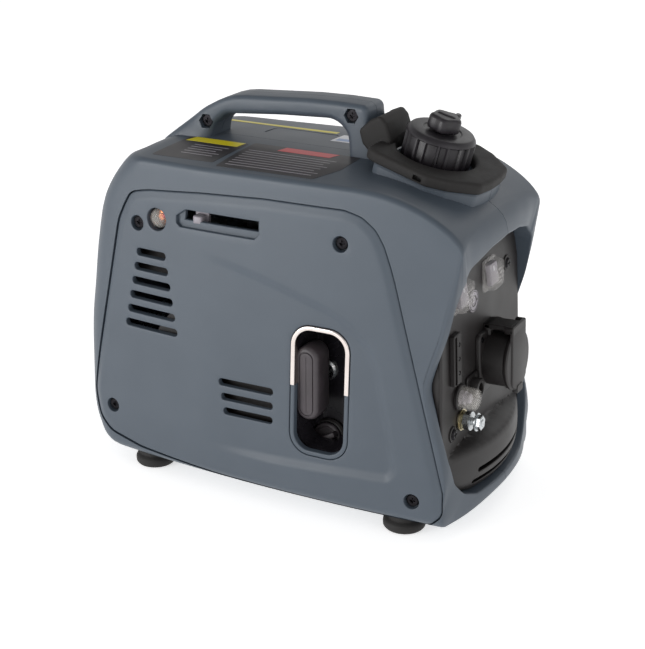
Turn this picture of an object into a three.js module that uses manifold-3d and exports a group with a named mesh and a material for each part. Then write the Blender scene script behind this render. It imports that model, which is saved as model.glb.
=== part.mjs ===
// Portable suitcase generator. Millimetres, +Z up, +X towards the control end,
// the side with the starter faces -Y. The origin is the bottom centre of the bounding box.
import * as THREE from "three";
import { mergeVertices } from "three/addons/utils/BufferGeometryUtils.js";
import Module from "manifold-3d";

const wasm = await Module();
wasm.setup();

// Driving dimensions
const gap = 0.3; // between pieces that touch
const wall = 3.4; // moulded housing wall
const coverWall = 2.6;
const floorZ = 14; // underside of the housing, above the feet
const halfWidth = 98; // widest point of the sides
const widestZ = 20;
const draft = Math.tan(THREE.MathUtils.degToRad(3));
const sideCrown = 3000; // x squared over this is how far the sides curve in
const rearX = -178.4;
const rearCornerR = 20;
const noseX = 174.5; // lower front lip, on the centre line
const noseCrown = 456;
const footX = 117.7;
const footY = 72;
const footR = 17;
const handleHalf = 16;
const capTilt = THREE.MathUtils.degToRad(14);
const capAt = [99.1, 0, 263]; // where the filler axis leaves the deck
const crankAt = [-45, 98]; // x, z
const pulleyR = 28; // rope radius on the starter pulley
const ropeR = 2;
const gripAt = [38, 110]; // x, z
const gripY = -87; // outer face of the grip
const oilAt = [42, -61, 54];
const oilTilt = THREE.MathUtils.degToRad(12);
// places on the control panel, y and z
const socketAt = [11, 121];
const earthAt = [-44, 88];
const breakerAt = [-47, 108];
const dcAt = [-24, 107];
const engineSwitchAt = [-47, 190];
const ecoSwitchAt = [12, 189];
const panelScrews = [[-60, 82], [55, 82], [50, 186]];
const switchTiltDeg = 7;

const group = new THREE.Group();

// Materials
const finish = (color, roughness, metalness = 0, opacity = 1) =>
  new THREE.MeshStandardMaterial({ color, roughness, metalness, opacity, transparent: opacity < 1 });
const bodyPlastic = finish(0x5f6b74, 0.5);
const blackPlastic = finish(0x34302f, 0.55);
const softRubber = finish(0x1f1c1b, 0.8);
const capPlastic = finish(0x2a262b, 0.5);
const brightTrim = finish(0xcfc6c0, 0.2, 1);
const zincSteel = finish(0xc4c6c6, 0.35, 1);
const blackSteel = finish(0x1b1b1c, 0.4, 0.8);
const castAluminium = finish(0xa9abac, 0.55, 1);
const copperWire = finish(0xb36b3c, 0.4, 1);
const clearSilicone = finish(0xd9d4cc, 0.2, 0, 0.4);
const tankPlastic = finish(0xcfcabc, 0.5);
const ropeFibre = finish(0x3a3a3c, 0.9);

// Geometry helpers
function solid(geometry) {
  const bare = geometry.clone();
  bare.deleteAttribute("normal");
  bare.deleteAttribute("uv");
  const merged = mergeVertices(bare, 1e-3);
  const vertProperties = merged.attributes.position.array;
  const triVerts = new Uint32Array(merged.index.array);
  return new wasm.Manifold(new wasm.Mesh({ numProp: 3, vertProperties, triVerts }));
}

function geometryOf(body) {
  const mesh = body.getMesh();
  const geometry = new THREE.BufferGeometry();
  geometry.setAttribute("position", new THREE.BufferAttribute(mesh.vertProperties, 3));
  geometry.setIndex(new THREE.BufferAttribute(mesh.triVerts, 1));
  return geometry;
}

const union = (first, ...rest) => rest.reduce((sum, next) => sum.add(next), first);
const cut = (first, ...rest) => rest.reduce((sum, next) => sum.subtract(next), first);

// drops the slivers and pockets that a cut leaves; the second pass drops those made by welding
function largest(body) {
  const weldedMain = (form) => {
    const parts = solid(geometryOf(form)).decompose();
    return parts.sort((a, b) => b.volume() - a.volume())[0];
  };
  return weldedMain(weldedMain(body));
}

function add(name, body, material, parent = group) {
  const mesh = new THREE.Mesh(geometryOf(body), material);
  mesh.name = name;
  parent.add(mesh);
  return mesh;
}

const shapeOf = (points) => new THREE.Shape(points.map(([u, v]) => new THREE.Vector2(u, v)));

function extrude(shape, depth, matrix, curveSegments = 5) {
  const geometry = new THREE.ExtrudeGeometry(shape, { depth, bevelEnabled: false, curveSegments });
  return solid(geometry.applyMatrix4(matrix));
}

const axisX = new THREE.Vector3(1, 0, 0);
const axisY = new THREE.Vector3(0, 1, 0);
const axisZ = new THREE.Vector3(0, 0, 1);
// shape in x, z drawn along Y
function alongY(shape, y0, y1, curveSegments) {
  const turn = new THREE.Matrix4().makeBasis(axisX, axisZ, axisY.clone().negate()).setPosition(0, y1, 0);
  return extrude(shape, y1 - y0, turn, curveSegments);
}
// shape in y, z drawn along X
function alongX(shape, x0, x1, curveSegments) {
  const turn = new THREE.Matrix4().makeBasis(axisY, axisZ, axisX).setPosition(x0, 0, 0);
  return extrude(shape, x1 - x0, turn, curveSegments);
}
// shape in x, y drawn along Z
function alongZ(shape, z0, z1, curveSegments) {
  return extrude(shape, z1 - z0, new THREE.Matrix4().makeTranslation(0, 0, z0), curveSegments);
}

function block([x0, x1], [y0, y1], [z0, z1]) {
  const box = new THREE.BoxGeometry(x1 - x0, y1 - y0, z1 - z0);
  return solid(box.translate((x0 + x1) / 2, (y0 + y1) / 2, (z0 + z1) / 2));
}

// cylinder or cone between two points
function rod(from, to, r0, r1 = r0, sides = 20) {
  const start = new THREE.Vector3(...from);
  const span = new THREE.Vector3(...to).sub(start);
  const shaft = new THREE.CylinderGeometry(r1, r0, span.length(), sides);
  const turn = new THREE.Quaternion().setFromUnitVectors(axisY, span.clone().normalize());
  const middle = start.addScaledVector(span, 0.5);
  return solid(shaft.applyQuaternion(turn).translate(middle.x, middle.y, middle.z));
}

// profile points are radius and height, anticlockwise; the axis is Z
function turned(profile, sides = 24) {
  const closed = profile[0][0] > 0 ? [...profile, profile[0]] : profile;
  const points = closed.map(([r, h]) => new THREE.Vector2(r, h));
  return solid(new THREE.LatheGeometry(points, sides).rotateX(Math.PI / 2));
}

function roundedRect(u0, u1, v0, v1, r) {
  const shape = new THREE.Shape();
  shape.moveTo(u0 + r, v0);
  shape.lineTo(u1 - r, v0).absarc(u1 - r, v0 + r, r, -Math.PI / 2, 0);
  shape.lineTo(u1, v1 - r).absarc(u1 - r, v1 - r, r, 0, Math.PI / 2);
  shape.lineTo(u0 + r, v1).absarc(u0 + r, v1 - r, r, Math.PI / 2, Math.PI);
  shape.lineTo(u0, v0 + r).absarc(u0 + r, v0 + r, r, Math.PI, 1.5 * Math.PI);
  return shape;
}

// moves each edge of an anticlockwise outline inwards
function inset(points, distance) {
  const count = points.length;
  return points.map((here, i) => {
    const before = points[(i + count - 1) % count];
    const after = points[(i + 1) % count];
    const a = new THREE.Vector2(here[0] - before[0], here[1] - before[1]).normalize();
    const b = new THREE.Vector2(after[0] - here[0], after[1] - here[1]).normalize();
    const normal = new THREE.Vector2(-a.y - b.y, a.x + b.x).normalize();
    const reach = distance / Math.max(0.4, normal.x * -b.y + normal.y * b.x);
    return [here[0] + normal.x * reach, here[1] + normal.y * reach];
  });
}

// piecewise straight reading of a curve given as x, value pairs
function along(table, x) {
  const last = table.length - 1;
  if (x <= table[0][0]) return table[0][1];
  if (x >= table[last][0]) return table[last][1];
  const i = table.findIndex(([place]) => place >= x);
  const [x0, v0] = table[i - 1];
  const [x1, v1] = table[i];
  return v0 + ((v1 - v0) * (x - x0)) / (x1 - x0);
}

// Body form: height of the crest and of the top edge of the sides, along X
const crestLine = [
  [-190, 275], [-60, 275.5], [40, 275.5], [80, 273], [117, 267], [135, 259.5], [147, 251.5],
  [153, 248], [190, 225],
];
const sideTopLine = [
  [-190, 266.5], [70, 268], [102, 265], [124, 259], [146, 248], [157, 239], [190, 215],
];

function bodySection(x) {
  const low = halfWidth - (x * x) / sideCrown;
  const sideTop = along(sideTopLine, x);
  const high = low - (sideTop - widestZ) * draft;
  const crest = along(crestLine, x);
  const half = [
    [low - 8, floorZ],
    [low - 2, floorZ + 2],
    [low, widestZ],
    [high, sideTop - 1.5],
    [high - 4.2, sideTop + 2.7],
    [high * 0.5, sideTop + 2.7 + (crest - sideTop - 2.7) * 0.7],
  ];
  const other = half.map(([y, z]) => [-y, z]).reverse();
  return [...half, [0, crest], ...other];
}

// skin through the sections, closed by flat ends
function loft(stations, section) {
  const rings = stations.map((x) => section(x).map(([y, z]) => [x, y, z]));
  const count = rings[0].length;
  const faces = [];
  for (let i = 0; i + 1 < rings.length; i++)
    for (let j = 0; j < count; j++) {
      const k = (j + 1) % count;
      faces.push(rings[i][j], rings[i][k], rings[i + 1][k], rings[i][j], rings[i + 1][k], rings[i + 1][j]);
    }
  const ends = [rings[0], rings[rings.length - 1]];
  const cap = THREE.ShapeUtils.triangulateShape(shapeOf(section(stations[0])).getPoints(), []);
  cap.forEach(([a, b, c]) => {
    faces.push(ends[0][c], ends[0][b], ends[0][a]);
    faces.push(ends[1][a], ends[1][b], ends[1][c]);
  });
  const geometry = new THREE.BufferGeometry();
  geometry.setAttribute("position", new THREE.Float32BufferAttribute(faces.flat(), 3));
  return solid(geometry);
}

const sideProfile = [
  [-150, floorZ], [152, floorZ], [164, 15.5], [171, 20], [noseX, 27], [noseX, 31],
  [157.7, 50], [154.8, 66], [147.7, 90], [140.5, 118], [138.5, 127.5],
  [143.6, 150], [149, 170], [153.6, 191], [157.5, 208], [161, 219], [165, 227],
  [164.8, 231], [163.3, 236], [160.5, 240.4], [157, 244.2], [153, 248], [148, 276],
  [-118, 276], [-133, 268], [-144, 257], [-153, 245], [-161, 230], [-169, 194], [-174, 155],
  [-177.4, 128], [rearX, 100], [rearX, 73], [-177, 46], [-172.5, 32], [-163, 19],
];

function planOutline() {
  const points = [];
  for (let y = -110; y <= 110; y += 20) points.push([noseX - (y * y) / noseCrown, y]);
  const cornerY = halfWidth - 9 - rearCornerR;
  const corner = (sign) => (step) => {
    const angle = (Math.PI / 2) * (step / 6);
    const x = rearX + rearCornerR - rearCornerR * Math.sin(angle);
    return [x, sign * (cornerY + rearCornerR * Math.cos(angle))];
  };
  const steps = [0, 1, 2, 3, 4, 5, 6];
  points.push([-100, 110], [-148, cornerY + rearCornerR + 1.2]);
  points.push(...steps.map(corner(1)), ...steps.reverse().map(corner(-1)));
  points.push([-148, -cornerY - rearCornerR - 1.2], [-100, -110]);
  return points;
}

function bodyForm(depth) {
  const stations = [-190, -120, -60, 0, 40, 70, 85, 102, 117, 126, 136, 147, 155, 190];
  const core = loft(stations, (x) => inset(bodySection(x), depth));
  const side = alongY(shapeOf(inset(sideProfile, depth)), -120, 120);
  const plan = alongZ(shapeOf(inset(planOutline(), depth)), 0, 300);
  return core.intersect(side).intersect(plan);
}

// the mouth that holds the control panel, drawn in y, z
const mouthHalf = [
  [45, 29], [62, 35], [74, 48], [80, 70], [80, 90], [78, 150], [76, 186], [70, 205],
  [57, 216.5], [28, 224.5],
];
const mouth = [[0, 28], ...mouthHalf, [0, 227], ...mouthHalf.map(([y, z]) => [-y, z]).reverse()];

const coverOutline = [
  [-118, 22.5], [-39, 16.8], [38, 16], [110, 16], [142, 16], [150, 20], [155, 30], [156, 45],
  [109, 211], [101, 232], [94, 243], [83, 251], [69, 254.5], [2, 254], [-53, 250.5], [-108, 245],
  [-121, 241], [-130, 231], [-137, 217], [-146, 173], [-168, 65], [-165, 47], [-157, 34], [-146, 27],
];

const windowSpan = { x: [26, 77], z: [53, 161], r: 18 };
const slotSpan = { x: [-76, -2], z: [221, 235.5], r: 3 };
const upperLouvres = { count: 6, pitch: 12.35, top: 193.5, half: 3.2 };
const lowerLouvres = { count: 3, pitch: 12.1, top: 99.5, half: 3 };
const farLouvres = { count: 6, pitch: 12.3, bottom: 70, height: 6.5 };
const outletSpan = { y: [14, 62], z: [52, 92], r: 8 };
const accessSpan = { x: [-60, 0], y: [18, 42], r: 5 };
const primerAt = [-97.5, 223];
const primerHoleR = 9.3;
const coverScrews = [[-117, 217], [67, 229], [-147, 53], [132, 34]];
const handleScrews = [[-93, 288], [39, 307]];

const handleOutline = [
  [-134, 262], [60, 262], [57, 282], [53, 300], [51, 311], [46, 316.5], [12, 316.7],
  [-72, 311], [-82, 307.5], [-96, 297], [-113, 285], [-130, 270.7],
];

function handleLoop() {
  const grasp = shapeOf([
    [38, 250], [36, 276], [32, 292], [23.6, 299.5], [12, 302.9], [-25, 300], [-61, 296.5],
    [-74, 293.5], [-82, 286], [-89, 275], [-92, 250],
  ]);
  return alongY(shapeOf(handleOutline), -handleHalf, handleHalf).subtract(alongY(grasp, -30, 30));
}

const counterboreR = 6.2;
const screwBore = ([x, z], y0, y1, r) => rod([x, y0, z], [x, y1, z], r, r, 16);

// filler frame: cap, gasket, knob and tray all follow this tilted axis
const filler = new THREE.Group();
filler.position.set(...capAt);
filler.rotation.y = capTilt;
group.add(filler);
const fillerTurn = new THREE.Matrix4().makeRotationY(capTilt).setPosition(...capAt);
const inFiller = (body) => body.transform(fillerTurn.elements);

// plan of the tray, in the filler frame
const trayHalf = [[-34, -42], [-27, -45.5], [15.5, -51], [31, -44], [50, -27], [52.5, -8]];
const trayPlan = [...trayHalf, ...trayHalf.map(([x, y]) => [x, -y]).reverse()];
const trayZ = [12, 20.8];
const neckR = 20;
const neckTop = 30;

// skin, half of the handle and the bed that the filler tray lies on
function housingForm() {
  const skin = bodyForm(0).subtract(bodyForm(wall));
  const bed = inFiller(alongZ(shapeOf(inset(trayPlan, 2)), -14, trayZ[0] - gap));
  return union(skin, handleLoop(), bed.subtract(bodyForm(wall)));
}

// the left half is open under the side cover, with a rim inside that the cover is screwed to
function coverOpening(shell) {
  const [outsideY, rimY, openingY] = [-120, -76, -75.5];
  const rim = bodyForm(wall - 0.4).subtract(bodyForm(wall + 2.2));
  const ringOuter = alongY(shapeOf(inset(coverOutline, -5)), outsideY, rimY);
  const ringInner = alongY(shapeOf(inset(coverOutline, 9)), outsideY - 1, 1);
  const opening = alongY(shapeOf(inset(coverOutline, -0.5)), outsideY, openingY);
  const pads = coverScrews.map((at) => screwBore(at, outsideY, rimY, 26));
  const flange = rim.intersect(union(ringOuter.subtract(ringInner), ...pads));
  const open = shell.subtract(opening.intersect(bodyForm(-5).subtract(bodyForm(wall))));
  const threads = coverScrews.map((at) => screwBore(at, outsideY, -40, 2.4));
  return cut(open.add(flange), screwBore(primerAt, outsideY, -40, 9.6), ...threads);
}

function housingLeft() {
  const clip = block([-300, 300], [-300, -gap / 2], [-50, 400]);
  const neckHole = inFiller(rod([0, 0, -40], [0, 0, 40], 24, 24, 28));
  const seats = handleScrews.map((at) => screwBore(at, -40, -11, 5.6));
  const shell = coverOpening(housingForm()).intersect(clip);
  return largest(cut(shell, alongX(shapeOf(mouth), 100, 220), neckHole, ...seats));
}

function housingRight() {
  const clip = block([-300, 300], [gap / 2, 300], [-50, 400]);
  const neckHole = inFiller(rod([0, 0, -40], [0, 0, 40], 24, 24, 28));
  const outlet = alongX(roundedRect(...outletSpan.y, ...outletSpan.z, outletSpan.r), -220, -150);
  const access = alongZ(roundedRect(...accessSpan.x, ...accessSpan.y, accessSpan.r), 255, 300);
  const { count, pitch, bottom, height } = farLouvres;
  const louvres = Array.from({ length: count }, (_, i) => {
    const z = bottom + i * pitch;
    return alongY(roundedRect(-60 + i, 40 - i, z, z + height, 3), 60, 120, 3);
  });
  const mouthCut = alongX(shapeOf(mouth), 100, 220);
  return largest(cut(housingForm().intersect(clip), mouthCut, neckHole, outlet, access, ...louvres));
}

function sideCover() {
  const skin = bodyForm(0).subtract(bodyForm(coverWall));
  const plate = skin.intersect(alongY(shapeOf(coverOutline), -120, -76));
  const through = (u0, u1, v0, v1, r, sides) => alongY(roundedRect(u0, u1, v0, v1, r), -120, -40, sides);
  const openings = [
    through(...windowSpan.x, ...windowSpan.z, windowSpan.r),
    through(...slotSpan.x, ...slotSpan.z, slotSpan.r),
    screwBore(primerAt, -120, -40, primerHoleR),
    ...coverScrews.map((at) => screwBore(at, -120, -40, counterboreR)),
  ];
  for (let i = 0; i < upperLouvres.count; i++) {
    const z = upperLouvres.top - i * upperLouvres.pitch;
    const { half } = upperLouvres;
    openings.push(through(-118 - i * 2.5, -89 + i * 2.2, z - half, z + half, half - 0.2, 3));
  }
  for (let i = 0; i < lowerLouvres.count; i++) {
    const z = lowerLouvres.top - i * lowerLouvres.pitch;
    const { half } = lowerLouvres;
    openings.push(through(-38 + i * 2.3, 11, z - half, z + half, half - 0.1, 3));
  }
  return cut(plate, ...openings);
}

function screw([x, z], seat, length) {
  const head = rod([x, seat, z], [x, seat + 2.6, z], 5, 5, 14);
  return union(head, rod([x, seat + 2.5, z], [x, seat + length, z], 1.9, 1.9, 8));
}

const sideY = (x, z) => -(halfWidth - (z - widestZ) * draft - (x * x) / sideCrown);

// Starter
const recessSpan = { x: [24, 79], z: [38, 163], floor: -50, r: 14 };
function starterRecess() {
  const { x, z, floor, r } = recessSpan;
  const edge = 2.2;
  const outside = roundedRect(x[0] - edge, x[1] + edge, z[0] - edge, z[1] + edge, r + edge);
  const box = alongY(outside, -120, floor).intersect(bodyForm(coverWall + gap));
  const hollow = alongY(roundedRect(x[0], x[1], z[0], z[1], r), -121, floor - 2);
  const eyelet = rod([gripAt[0], -60, gripAt[1]], [gripAt[0], -40, gripAt[1]], 4, 4, 12);
  return cut(box, hollow, eyelet, inOilFiller(rod([0, 0, -30], [0, 0, 20], 12, 12, 16)));
}

function windowTrim() {
  const { x, z, r } = windowSpan;
  const ring = alongY(roundedRect(x[0] + 0.3, x[1] - 0.3, z[0] + 0.3, z[1] - 0.3, r - 0.3), -120, -60);
  const hole = alongY(roundedRect(x[0] + 3.4, x[1] - 3.4, z[0] + 3.4, z[1] - 3.4, r - 3.4), -121, -59);
  const upper = block([x[0] - 5, x[1] + 5], [-130, -50], [115, z[1] + 5]);
  return ring.subtract(hole).intersect(upper).intersect(bodyForm(-0.6).subtract(bodyForm(coverWall)));
}

function starterGrip() {
  const [x, z] = gripAt;
  const face = alongY(roundedRect(x - 10, x + 10, z - 31, z + 31, 10), gripY, gripY + 21);
  const groove = alongY(roundedRect(x - 5, x + 5, z - 24, z + 24, 5), gripY - 1, gripY + 1.5);
  return face.subtract(groove);
}

function crank(profile, sides) {
  return turned(profile, sides).rotate([90, 0, 0]).translate([crankAt[0], 0, crankAt[1]]);
}
// profile heights run towards -Y from the crank's middle
const recoilCover = () => crank([[0, 66], [4, 66], [4, 82], [62, 82], [62, 63], [64, 63], [64, 84], [0, 84]]);
const starterPulley = () => crank([
  [4.4, 67], [31, 67], [31, 69], [pulleyR - 3, 71], [31, 73], [31, 75], [4.4, 75],
]);
const rotor = () => crank([
  [0, -60], [8, -60], [8, 30], [9, 30], [9, 50], [52, 50], [52, 30], [58, 30], [58, 60],
  [20, 60], [20, 64], [0, 64],
], 30);
const stator = () => crank([[14, 26], [49, 26], [49, 44], [14, 44]], 18);

function crankcase() {
  const [x, z] = crankAt;
  const body = alongY(roundedRect(-98, 14, 32, 125, 16), -24, 50);
  const sump = block([0, 56], [-24, 40], [32, 64]);
  const filler = inOilFiller(rod([0, 0, -38], [0, 0, -7], 9, 9, 16));
  const tunnel = rod([x, -80, z], [x, 80, z], 8.5, 8.5, 20);
  return union(body, sump, filler).subtract(tunnel);
}

function finned(x, y, z0, z1, core, pitch) {
  let body = block([x - core, x + core], [y - core, y + core], [z0, z1]);
  for (let z = z0 + 4; z + 2 < z1; z += pitch)
    body = body.add(block([x - core - 9, x + core + 9], [y - core - 7, y + core + 7], [z, z + 2]));
  return body;
}

// Oil filler, its own frame: +Z leads out of the filler
const oilFiller = new THREE.Group();
oilFiller.position.set(...oilAt);
oilFiller.rotation.x = Math.PI / 2 - oilTilt;
group.add(oilFiller);
function inOilFiller(body) {
  const turn = new THREE.Matrix4().makeRotationX(Math.PI / 2 - oilTilt).setPosition(...oilAt);
  return body.transform(turn.elements);
}

// Filler cap
const capTop = 39.3;
const capR = 25.4;
const ribR = 27.4;
function fuelCap() {
  const lobes = 9;
  const outline = [];
  for (let i = 0; i < lobes; i++)
    [[-0.2, capR], [-0.12, ribR], [0.12, ribR], [0.2, capR]].forEach(([turn, r]) => {
      const angle = (2 * Math.PI * (i + turn)) / lobes;
      outline.push([r * Math.cos(angle), r * Math.sin(angle)]);
    });
  const skirt = alongZ(shapeOf(outline), trayZ[0] + gap, capTop - 2);
  const top = turned([[0, capTop - 3], [26.5, capTop - 3], [24.3, capTop], [0, capTop]], 27);
  const thread = rod([0, 0, 0], [0, 0, neckTop + 2.6], neckR + 1, neckR + 1, 28);
  return union(skirt, top).subtract(thread);
}

// soft surround, with an upstand that hugs the front leg of the handle
function tray() {
  const plate = alongZ(shapeOf(trayPlan), trayZ[0], trayZ[1]);
  const hole = rod([0, 0, 0], [0, 0, 60], 31, 31, 30);
  const pocket = alongZ(roundedRect(4, 12, -47, -42, 1), 14, 30, 2);
  const upstand = shapeOf([
    [50, 298], [52, 286], [58.5, 281], [66, 281.5], [72, 286], [74, 294], [70, 306], [66, 310],
    [58, 305.5],
  ]);
  const leg = alongY(shapeOf(inset(handleOutline, -0.5)), -handleHalf - 0.4, handleHalf + 0.4);
  return cut(union(inFiller(plate), alongY(upstand, -20.5, 20.5)), leg, inFiller(hole), inFiller(pocket));
}

// Control end: the panel leans back a little; its own frame has +X out of the panel
const panelFoot = [151, 0, 76];
const panelLean = Math.atan2(6.5, 131);
const panel = new THREE.Group();
panel.position.set(...panelFoot);
panel.rotation.y = -panelLean;
group.add(panel);
const upPanel = (z) => (z - panelFoot[2]) / Math.cos(panelLean);

const endProfile = [
  [127, 28.8], [164, 28.8], [169, 33], [170, 45], [169, 60], [163, 69], [152.5, 73.5], [151, 76],
  [144.5, 207], [144.5, 230], [127, 230],
];

function endCover() {
  const arch = (depth) => alongZ(shapeOf(inset(planOutline(), 3 + depth)), 0, 300);
  const form = (depth) => alongX(shapeOf(inset(mouth, 0.6 + depth)), 100, 180)
    .intersect(alongY(shapeOf(inset(endProfile, depth)), -100, 100)).intersect(arch(depth));
  const clear = alongX(shapeOf(inset(mouth, 3)), 90, 130);
  let cover = cut(form(0), form(2.4), clear);
  for (const z of [35, 43.5]) {
    const slot = alongX(roundedRect(-50, 50, z, z + 3.6, 1.7), 150, 200, 2);
    cover = cover.subtract(slot);
  }
  const earthZ = upPanel(earthAt[1]);
  const stud = panelTurned(rod([-8, earthAt[0], earthZ], [12, earthAt[0], earthZ], 4, 4, 12));
  return cover.subtract(stud);
}

function panelTurned(body) {
  const turn = new THREE.Matrix4().makeRotationY(-panelLean).setPosition(...panelFoot);
  return body.transform(turn.elements);
}

const bootSize = [10, 12, 13]; // depth, half width, half height
function boot() {
  const [depth, w, h] = bootSize;
  const outside = alongX(roundedRect(-w, w, -h, h, 3), gap, depth + gap, 3);
  return outside.subtract(alongX(roundedRect(-w + 1.2, w - 1.2, -h + 1.2, h - 1.2, 2), 0, depth - 1, 3));
}

function rocker() {
  const wedge = shapeOf([[1.4, -9], [5.4, -9], [3.6, 0], [5.4, 9], [1.4, 9]]);
  return alongY(wedge, -8, 8).rotate([0, -switchTiltDeg, 0]);
}

function socketBody() {
  const flange = alongX(roundedRect(-25, 25, -25, 25, 4), gap, 4, 3);
  const barrel = rod([3.5, 0, 0], [22, 0, 0], 22.5, 22, 28);
  const ear = block([3, 23.2], [-9, 9], [25.5, 29.8]).add(block([gap, 6], [-9, 9], [20, 29.8]));
  const well = rod([5, 0, 0], [23, 0, 0], 19.3, 19.3, 28);
  const bore = rod([lidPin, -20, pinZ], [lidPin, 20, pinZ], 1.6, 1.6, 10);
  return cut(union(flange, barrel, ear), well, bore);
}

const lidPin = 21;
const pinZ = 28;
function socketLid() {
  const disc = rod([22.6, 0, 0], [25.6, 0, 0], 24.5, 23.5, 28);
  const band = block([23, 28.4], [-17, 17], [-21, 25]).add(block([23, 28.4], [-6, 6], [-27, -20]));
  const arms = union(
    block([19, 28.4], [-14, -9.4], [24.8, 31]), block([19, 28.4], [9.4, 14], [24.8, 31]),
    block([24.6, 28.4], [-14, 14], [20, 31]),
  );
  const bore = rod([lidPin, -20, pinZ], [lidPin, 20, pinZ], 1.6, 1.6, 10);
  return union(disc, band, arms).subtract(bore);
}

function chokeLever() {
  const leverY = -81;
  const knob = block([-64, -56], [leverY - 3, leverY + 12], [224, 231]);
  return knob.add(block([-66, -54], [leverY + 5, leverY + 8], [218, 233]));
}

function primerBulb() {
  const [x, z] = primerAt;
  const dome = turned([[0, 0], [8.6, 0], [8.6, 4], [7, 7.5], [4, 9.3], [0, 10]], 18);
  return dome.rotate([90, 0, 0]).translate([x, sideY(x, z) + 9, z]);
}

function fuelTank() {
  const body = alongX(roundedRect(-70, 70, 188, 243, 14), 16, 123);
  const bore = rod([0, 0, -18], [0, 0, 40], 17, 17, 24);
  return body.add(inFiller(rod([0, 0, -24], [0, 0, neckTop], neckR, neckR, 24).subtract(bore)));
}

function carburettor() {
  const [y, z] = [-50, 200];
  const body = block([-84, -64], [y - 16, y + 16], [z - 14, z + 14]);
  return body.add(rod([-84, y, z], [-50, y, z], 9, 9, 14));
}

function ventKnob() {
  const body = turned([[0, 39.6], [11, 39.6], [12.9, 41.5], [12.9, 49.5], [11, 51.4], [0, 51.4]], 24);
  return body.add(rod([4, 9, 48], [6.4, 14.6, 48.5], 2.6, 2.2, 8));
}

function oilCap() {
  const head = turned([[0, -4.5], [12.4, -4.5], [12.4, 0], [0, 0]], 20);
  return head.add(block([-11, 11], [-2.2, 2.2], [-1, 6]));
}

function plugAccessLid() {
  const { x, y, r } = accessSpan;
  const clearance = 0.6;
  const along = [x[0] + clearance, x[1] - clearance];
  const across = [y[0] + clearance, y[1] - clearance];
  const plan = roundedRect(...along, ...across, r - clearance);
  return bodyForm(0).subtract(bodyForm(2.4)).intersect(alongZ(plan, 250, 300));
}

function exhaustGrille() {
  const { y, z, r } = outletSpan;
  const clearance = 0.6;
  const across = [y[0] + clearance, y[1] - clearance];
  const up = [z[0] + clearance, z[1] - clearance];
  const plate = alongX(roundedRect(...across, ...up, r - clearance), -178.2, -174.8);
  return plate.subtract(rod([-185, 38, 72], [-170, 38, 72], 9, 9, 16));
}

function muffler() {
  const body = alongX(roundedRect(-18, 78, 42, 108, 12), -166, -112);
  return body.add(rod([-173, 38, 72], [-160, 38, 72], 8, 8, 14));
}

// pieces of the panel, each around its own axis, +X out of the panel
const axial = (x0, x1, r0, r1, sides) => rod([x0, 0, 0], [x1, 0, 0], r0, r1, sides);
const dcSocket = () => axial(gap, 9, 8.5, 8, 16).subtract(axial(3, 10, 5, 5, 12));
const breakerCup = () => axial(gap, 16, 9, 8.4, 18).subtract(axial(0, 14.6, 7.2, 7, 18));
const earthStud = () => axial(-6, 19, 3, 3, 12).add(axial(14.2, 18, 6, 6, 6));
const earthNut = () => axial(gap, 7, 8.5, 7, 16).subtract(axial(-1, 9, 3.3, 3.3, 12));
const panHead = () => turned([[0, gap], [4.6, gap], [4.6, 1.6], [3, 2.8], [0, 2.8]], 14).rotate([0, 90, 0]);
const onPanel = (name, body, material, [y, z]) => {
  add(name, body, material, panel).position.set(0, y, upPanel(z));
};

// Assembly
add("housing_left", housingLeft(), bodyPlastic);
add("housing_right", housingRight(), bodyPlastic);
add("side_cover", sideCover(), bodyPlastic);
coverScrews.forEach(([x, z], i) => {
  add("cover_screw_" + (i + 1), screw([x, z], sideY(x, z) - 0.6, 6), blackSteel);
});
handleScrews.forEach((at, i) => add("handle_screw_" + (i + 1), screw(at, -13.8, 2.6), blackSteel));
add("window_trim", windowTrim(), brightTrim);
add("starter_recess", starterRecess(), blackPlastic);
add("starter_grip", starterGrip(), softRubber);
const [gripX, gripZ] = gripAt;
add("starter_rope", rod([gripX, gripY + 21.3, gripZ], [gripX, -46, gripZ], ropeR, ropeR, 8), ropeFibre);
add("recoil_cover", recoilCover(), blackPlastic);
add("starter_pulley", starterPulley(), blackPlastic);
add("flywheel_rotor", rotor(), zincSteel);
add("stator", stator(), copperWire);
add("crankcase", crankcase(), castAluminium);
add("cylinder", finned(-42, 14, 125.4, 186, 20, 9), castAluminium);
add("cylinder_head", finned(-42, 14, 186.3, 212, 20, 8), castAluminium);
add("spark_plug", rod([-30, 26, 212.3], [-30, 26, 234], 5, 4, 10), zincSteel);
add("plug_cap", rod([-30, 26, 234.3], [-30, 26, 256], 8, 6, 12), softRubber);
add("plug_access_lid", plugAccessLid(), bodyPlastic);
add("muffler", muffler(), zincSteel);
add("exhaust_grille", exhaustGrille(), blackSteel);
add("ignition_coil", block([-62, -28], [-60, -38], [161, 182]), blackPlastic);
add("carburettor", carburettor(), castAluminium);
add("air_filter_box", alongY(roundedRect(-148, -92, 165, 210, 8), -72, -38), blackPlastic);
add("choke_lever", chokeLever(), blackPlastic);
add("primer_bulb", primerBulb(), clearSilicone);
add("fuel_tank", fuelTank(), tankPlastic);
const gasketTop = neckTop + 2.2;
const gasket = turned([[15, neckTop + gap], [neckR, neckTop + gap], [neckR, gasketTop], [15, gasketTop]]);
add("cap_gasket", gasket, softRubber, filler);
add("fuel_cap", fuelCap(), capPlastic, filler);
add("vent_knob", ventKnob(), capPlastic, filler);
add("fuel_tray", tray(), softRubber);
const oilSeal = turned([[9.6, -6.6], [11.4, -6.6], [11.4, -4.8], [9.6, -4.8]], 16);
add("oil_cap_seal", oilSeal, softRubber, oilFiller);
add("oil_cap", oilCap(), blackPlastic, oilFiller);
add("inverter_module", block([84, 118], [-58, 58], [30, 172]), castAluminium);

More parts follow.
